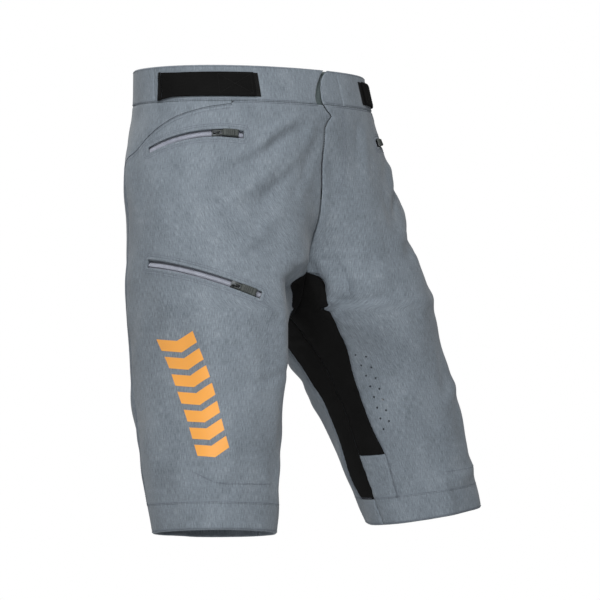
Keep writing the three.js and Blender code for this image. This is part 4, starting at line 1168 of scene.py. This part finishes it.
# %% Rounded copies of the hard parts
def rounded_copy(node, name, width, finish, body, slot):
    """A merged copy of a CAD node with its edges bevelled."""
    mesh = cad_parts[node].data.copy()
    bm = bmesh.new()
    bm.from_mesh(mesh)
    bmesh.ops.remove_doubles(bm, verts=bm.verts, dist=2e-6)
    bmesh.ops.dissolve_limit(bm, angle_limit=math.radians(3), verts=bm.verts, edges=bm.edges)
    bm.to_mesh(mesh)
    bm.free()
    mesh.materials.clear()
    mesh.polygons.foreach_set("use_smooth", [True] * len(mesh.polygons))
    piece = bpy.data.objects.new(name, mesh)
    scene.collection.objects.link(piece)
    bevel = piece.modifiers.new("rounding", "BEVEL")
    bevel.width = width * MM
    bevel.segments = 2
    bevel.limit_method = "ANGLE"
    bevel.angle_limit = math.radians(35)
    bake(piece)
    piece.data.set_sharp_from_angle(angle=math.radians(50))
    return settle(piece, finish, body, slot, node)


CLOSED_AT = 34
PULL_START, PULL_END, PULL_HALF = 6.8, 24.6, 4.6
PULL_BASE = 5.2  # its underside above the tape


def pull_sleeve(name, path):
    """A moulded grip over the pull: a rounded block with ribs across it and a notch near its free end."""
    length = PULL_END - PULL_START
    x, y = np.meshgrid(spacing(length, 0.45, (0, 0.2, 0.5)), spacing(2 * PULL_HALF, 0.7, (0, 0.2, 0.5)))
    run = x * length
    across = (2 * y - 1) * PULL_HALF * (1 - 0.1 * (1 - smooth(run, 0, 5)))
    edge = np.minimum(np.minimum(run, length - run), PULL_HALF - np.abs(across) * 0.999)
    round_off = np.sqrt(np.clip(1 - (1 - np.clip(edge / 1.3, 0, 1)) ** 2, 0, 1))
    ribs = 0.28 * np.sin((run - 3) * 2 * math.pi / 2.1) * smooth(run, 2.5, 3.5) * (1 - smooth(run, 11, 12))
    notch = 0.7 * np.exp(-(((run - 13.6) / 0.7) ** 2))
    top = PULL_BASE + (2.3 + 0.6 * smooth(run, 0, 9) + (ribs - notch) * smooth(edge, 0.4, 1.4)) * round_off
    bottom = PULL_BASE - 0.05 * round_off
    distance = CLOSED_AT - PULL_START - run
    uv = np.stack([run * MM, across * MM], -1)
    piece = slab(f"{name}_pull_grip", path.point(distance, across, top), path.point(distance, across, bottom), uv)
    face_outwards(piece)
    settle(piece, "pull", f"{name}_pull", "pull_rubber")


for name, (path, _) in ZIPS.items():
    pull_sleeve(name, path)
for name in [*ZIPS, "fly_zip"]:
    rounded_copy(f"{name}_slider", f"{name}_slider_cast", 0.22, "slider", f"{name}_slider", "zip_metal")
    rounded_copy(f"{name}_pull", f"{name}_pull_moulded", 0.3, "pull", f"{name}_pull", "pull_rubber")
for name in ["upper", "lower"]:
    rounded_copy(f"snap_socket_{name}", f"snap_ring_{name}", 0.15, "snap", "tab", "snap_metal")
    rounded_copy(f"snap_stud_{name}", f"snap_post_{name}", 0.15, "snap", "shell", "snap_metal")


# %% Tapes, teeth and welts
TOOTH_PITCH = 1.25
COIL_HEIGHT_MID = 1.2


def tape(name, path, node):
    """A woven tape with a thicker cord along each edge."""
    across = np.array([-9, -8.6, -7.8, -7.2, -4, -2.6, 0, 2.6, 4, 7.2, 7.8, 8.6, 9.0])
    distance = np.linspace(0, path.length, int(path.length / 3) + 1)
    a, d = np.meshgrid(across, distance)
    rim = np.abs(a) >= 8.9
    top = np.where(rim, -0.35, np.where(np.abs(a) > 7.5, 0.0, -0.12))
    outer = path.point(d, a, top)
    inner = path.point(d, a, np.where(rim, -0.5, -0.75))
    piece = slab(name, outer, inner, np.stack([d * MM, a * MM], -1), 1)
    face_outwards(piece)
    return settle(piece, "tape", "shell", "zip_tape", node)


class StraightPath:
    """The fly zip's path: straight down behind the centre front."""

    def __init__(self):
        low, high = (np.array(corner) * 1000 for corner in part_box("fly_zip_tape"))
        self.start = np.array([(low[0] + high[0]) / 2, low[1], high[2]])
        self.length = high[2] - low[2]

    def axes(self, distance):
        shape = np.asarray(distance, float).shape + (3,)
        return None, np.broadcast_to([0.0, -1.0, 0.0], shape), np.broadcast_to([1.0, 0.0, 0.0], shape)

    def point(self, distance, across, out):
        distance, across, out = np.broadcast_arrays(distance, across, out)
        return self.start + np.stack([across, -out, -distance], -1).astype(float)


def teeth(name, path):
    """Two rows of teeth that mesh along the middle."""
    distance = np.arange(3.5, path.length - 3.5, TOOTH_PITCH)
    places, directions = [], []
    for shift, offset in [(-0.75, 0.0), (0.75, TOOTH_PITCH / 2)]:
        at = distance + offset
        places.append(path.point(at, np.full(len(at), shift), np.full(len(at), COIL_HEIGHT_MID)))
        directions.append(path.axes(at)[2])
    piece = pins(f"{name}_teeth", np.concatenate(places), np.concatenate(directions), 0.52, 2.9, 8, "coil")
    return settle(piece, "coil", "shell", "zip_coil", f"{name}_coil")


RAY_START = 25  # mm above the tape from which the cloth's face is looked for
WELT_SECTION = [  # away from the slot's edge, and above the cloth's face or, below -3, above the tape
    (1.9, -0.5), (1.75, 0.02), (1.3, 0.2), (0.5, 0.28), (-0.4, 0.2), (-0.95, -0.15), (-1.1, -0.6),
    (-1.1, -3.9), (-0.6, -4.2), (-0.5, -0.9), (0.6, -0.6),
]


def find_face(touch, point, edge, out, outset):
    """Where a ray from above the slot's edge, moved away by outset mm, meets the cloth."""
    start = Vector((point + edge * outset + out * RAY_START) * MM)
    return touch.ray_cast(start, Vector(-out))


def welt(name, path, touch):
    """A rolled edge of cloth round a slot, from the cloth's face down to the tape; returns two stitch rows."""
    outline = slot_outline(path)
    sideways = path.point(outline[:, 0], outline[:, 1], 0)
    ahead = np.roll(sideways, -1, 0) - np.roll(sideways, 1, 0)
    out = path.axes(outline[:, 0])[1]
    away = np.cross(ahead, out)
    away /= np.linalg.norm(away, axis=1, keepdims=True)
    middle = path.point(outline[:, 0].mean(), 0.0, 0.0)
    if np.mean(np.sum(away * (sideways - middle), 1)) < 0:
        away = -away
    face = []
    for point, direction, edge in zip(sideways, out, away):
        hit = find_face(touch, point, edge, direction, 1.2)
        face.append((RAY_START - hit[3] / MM) if hit[0] is not None else TAPE_SINK)
    face = np.array(face)
    face = (np.roll(face, 1) + face + np.roll(face, -1)) / 3
    rings = []
    for a, h in WELT_SECTION:
        height = np.where(h < -3, 0.9 + (h + 4.2), face + h)
        rings.append(sideways + away * a + out * height[:, None])
    points = np.stack(rings, 1)
    count, parts = points.shape[:2]
    index = np.arange(count * parts).reshape(count, parts)
    ahead = np.roll(index, -1, 0)
    corners = [index, ahead, np.roll(ahead, -1, 1), np.roll(index, -1, 1)]
    faces = np.stack([c.ravel() for c in corners], 1)
    run = np.concatenate([[0], np.cumsum(np.linalg.norm(np.diff(sideways, axis=0), axis=1))])
    uv = np.stack(np.broadcast_arrays(run[:, None] * MM, np.linspace(0, 0.012, parts)), -1)
    piece = solid(f"{name}_welt", points.reshape(-1, 3), faces, uv.reshape(-1, 2))
    face_outwards(piece)
    settle(piece, "shell", "shell", "shell_cloth")
    rows = []
    for outset in (2.9, 5.4):
        line = []
        for point, direction, edge in zip(sideways, out, away):
            hit = find_face(touch, point, edge, direction, outset)
            line.append(np.array(hit[0]) / MM + np.array(hit[1]) * 0.08 if hit[0] is not None else point)
        rows.append(np.array([*line, line[0]]))
    return rows


stitch_rows = []
for name, (path, side) in ZIPS.items():
    tape(f"{name}_tape_woven", path, f"{name}_tape")
    teeth(name, path)
    stitch_rows += welt(name, path, fronts["right" if side < 0 else "left"][1])
fly_path = StraightPath()
tape("fly_zip_tape_woven", fly_path, "fly_zip_tape")
teeth("fly_zip", fly_path)


# %% [markdown]
# ## Stitching
# The seams are topstitched: two rows beside the yoke, side and gusset seams, one above each hem fold and along the
# waistband, and a curved double row that holds the fly facing. All rows of one body are grown in one go.

# %% Rows of stitches
BESIDE, APART = 1.6, 5.0  # how far the two rows of a seam's stitches lie from it
J_LINE = [(36, -46), (35, -90), (30, -125), (22, -146), (10, -157), (1, -159)]
TAB_LINE = [(5, -8), (3, -20), (3, -36), (6, -39.6), (37, -39.6)]


def along_waist(points):
    """Points (mm from the centre front, z) as points (s, z)."""
    return [(share_at(length), z) for length, z in points]


def seam_row(side, points, offset=0.0, out=0.12):
    """A row along points (s, z), moved sideways by an offset in mm."""
    rows = np.array(points, float)
    lengths = np.concatenate([[0], np.cumsum(np.hypot(np.diff(rows[:, 0]) * SHARE_MM, np.diff(rows[:, 1])))])
    at = np.linspace(0, lengths[-1], int(lengths[-1] / 2) + 2)
    s, z = np.interp(at, lengths, rows[:, 0]), np.interp(at, lengths, rows[:, 1])
    run, rise = np.gradient(s * SHARE_MM), np.gradient(z)
    size = np.hypot(run, rise) + 1e-9
    return skin(side, s - rise / size * offset / SHARE_MM, z + run / size * offset, out)[0]


yoke_points = [(s, float(yoke_seam(s))) for s in np.linspace(0.25, 0.998, 60)]
for hand, side in SIDES:
    side_points = [(SIDE_SEAM, z) for z in np.linspace(-111, -502, 80)]
    front_points = [(float(leg_edge(side, z)), z) for z in np.linspace(-240, -502, 80)]
    back_points = [(float(gusset_back_edge(-z)), z) for z in np.linspace(-240, -502, 80)]
    stitch_rows += [seam_row(side, yoke_points, offset) for offset in (-BESIDE, -APART)]
    stitch_rows += [seam_row(side, side_points, offset) for offset in (BESIDE, APART)]
    stitch_rows += [seam_row(side, front_points, BESIDE), seam_row(side, back_points, -BESIDE)]
    for z in (HEM_FOLD + BESIDE, -HEM + 2.2):
        stitch_rows += [seam_row(side, [(0.004, z), (0.996, z)])]
    stitch_rows += [seam_row(side, KNEE_LINE, -2.0)]
    stitch_rows += [seam_row(side, [(0.248, -BAND - 1.8), (0.012, -BAND - 1.8)])]
    for z in (-BAND + 1.8, -2.2):
        stitch_rows += [seam_row(side, [(share_at(40), z), (0.998, z)])]
stitch_rows += [seam_row(1, along_waist(J_LINE), offset) for offset in (0.0, -3.2)]
stitch_rows += [seam_row(side, [(0.205, -48), (0.205, -66)]) for _, side in SIDES]
stitch_rows += [seam_row(-1, [(0.278, -271), (0.283, -305), (0.251, -348)])]
threads = stitches("shell_stitches", stitch_rows)
settle(threads, "thread", "shell", "shell_cloth")
tab_rows = [seam_row(1, along_waist(line)) for line in (TAB_LINE, [(13, -2.2), (37, -2.2)])]
settle(stitches("tab_stitches", tab_rows), "thread", "tab", "shell_cloth")
print("stitch faces", len(threads.data.polygons))

# %% Strap stitches and grip dots
STRAP_FACE = 3.5
high, low = -11.5, -34.5  # top and bottom of the box of stitches that holds the hooks
for hand, side in SIDES:
    s0, s1 = share_at(root_length - 69), share_at(root_length - 107)
    box = [(s1, high), (s0, high), (s0, low), (s1, low), (s1, high), (s0, low)]
    rows = [seam_row(side, line, out=STRAP_FACE) for line in (box, [(s1, low), (s0, high)])]
    settle(stitches(f"strap_stitches_{hand}", rows, "dark thread"), "dark thread", f"adjuster_{hand}", "webbing")
    columns = [share_at(root_length + past) for past in (2.4, 4.2)]
    rows = [seam_row(side, [(a, -9), (a, -38)], out=STRAP_FACE) for a in columns]
    settle(stitches(f"root_stitches_{hand}", rows, "dark thread"), "dark thread", "shell", "webbing")
    s, z = np.meshgrid(np.linspace(0.17, 0.94, 66), [-15.5, -19, STRAP_MIDDLE, -26.5])
    s = s + np.array([0, 0.5, 0, 0.5])[:, None] * (0.77 / 65)
    places, directions = skin(side, s.ravel(), z.ravel(), -5.2)
    settle(pins(f"grip_dots_{hand}", places, directions, 1.1, 0.7, 8, "silicone"), "silicone", "shell", "silicone")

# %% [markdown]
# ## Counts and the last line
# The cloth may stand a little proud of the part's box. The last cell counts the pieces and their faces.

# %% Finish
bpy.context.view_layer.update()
shown = [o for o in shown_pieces() if o.type == "MESH"]
print("pieces", len(shown), "faces", sum(len(o.data.polygons) for o in shown))
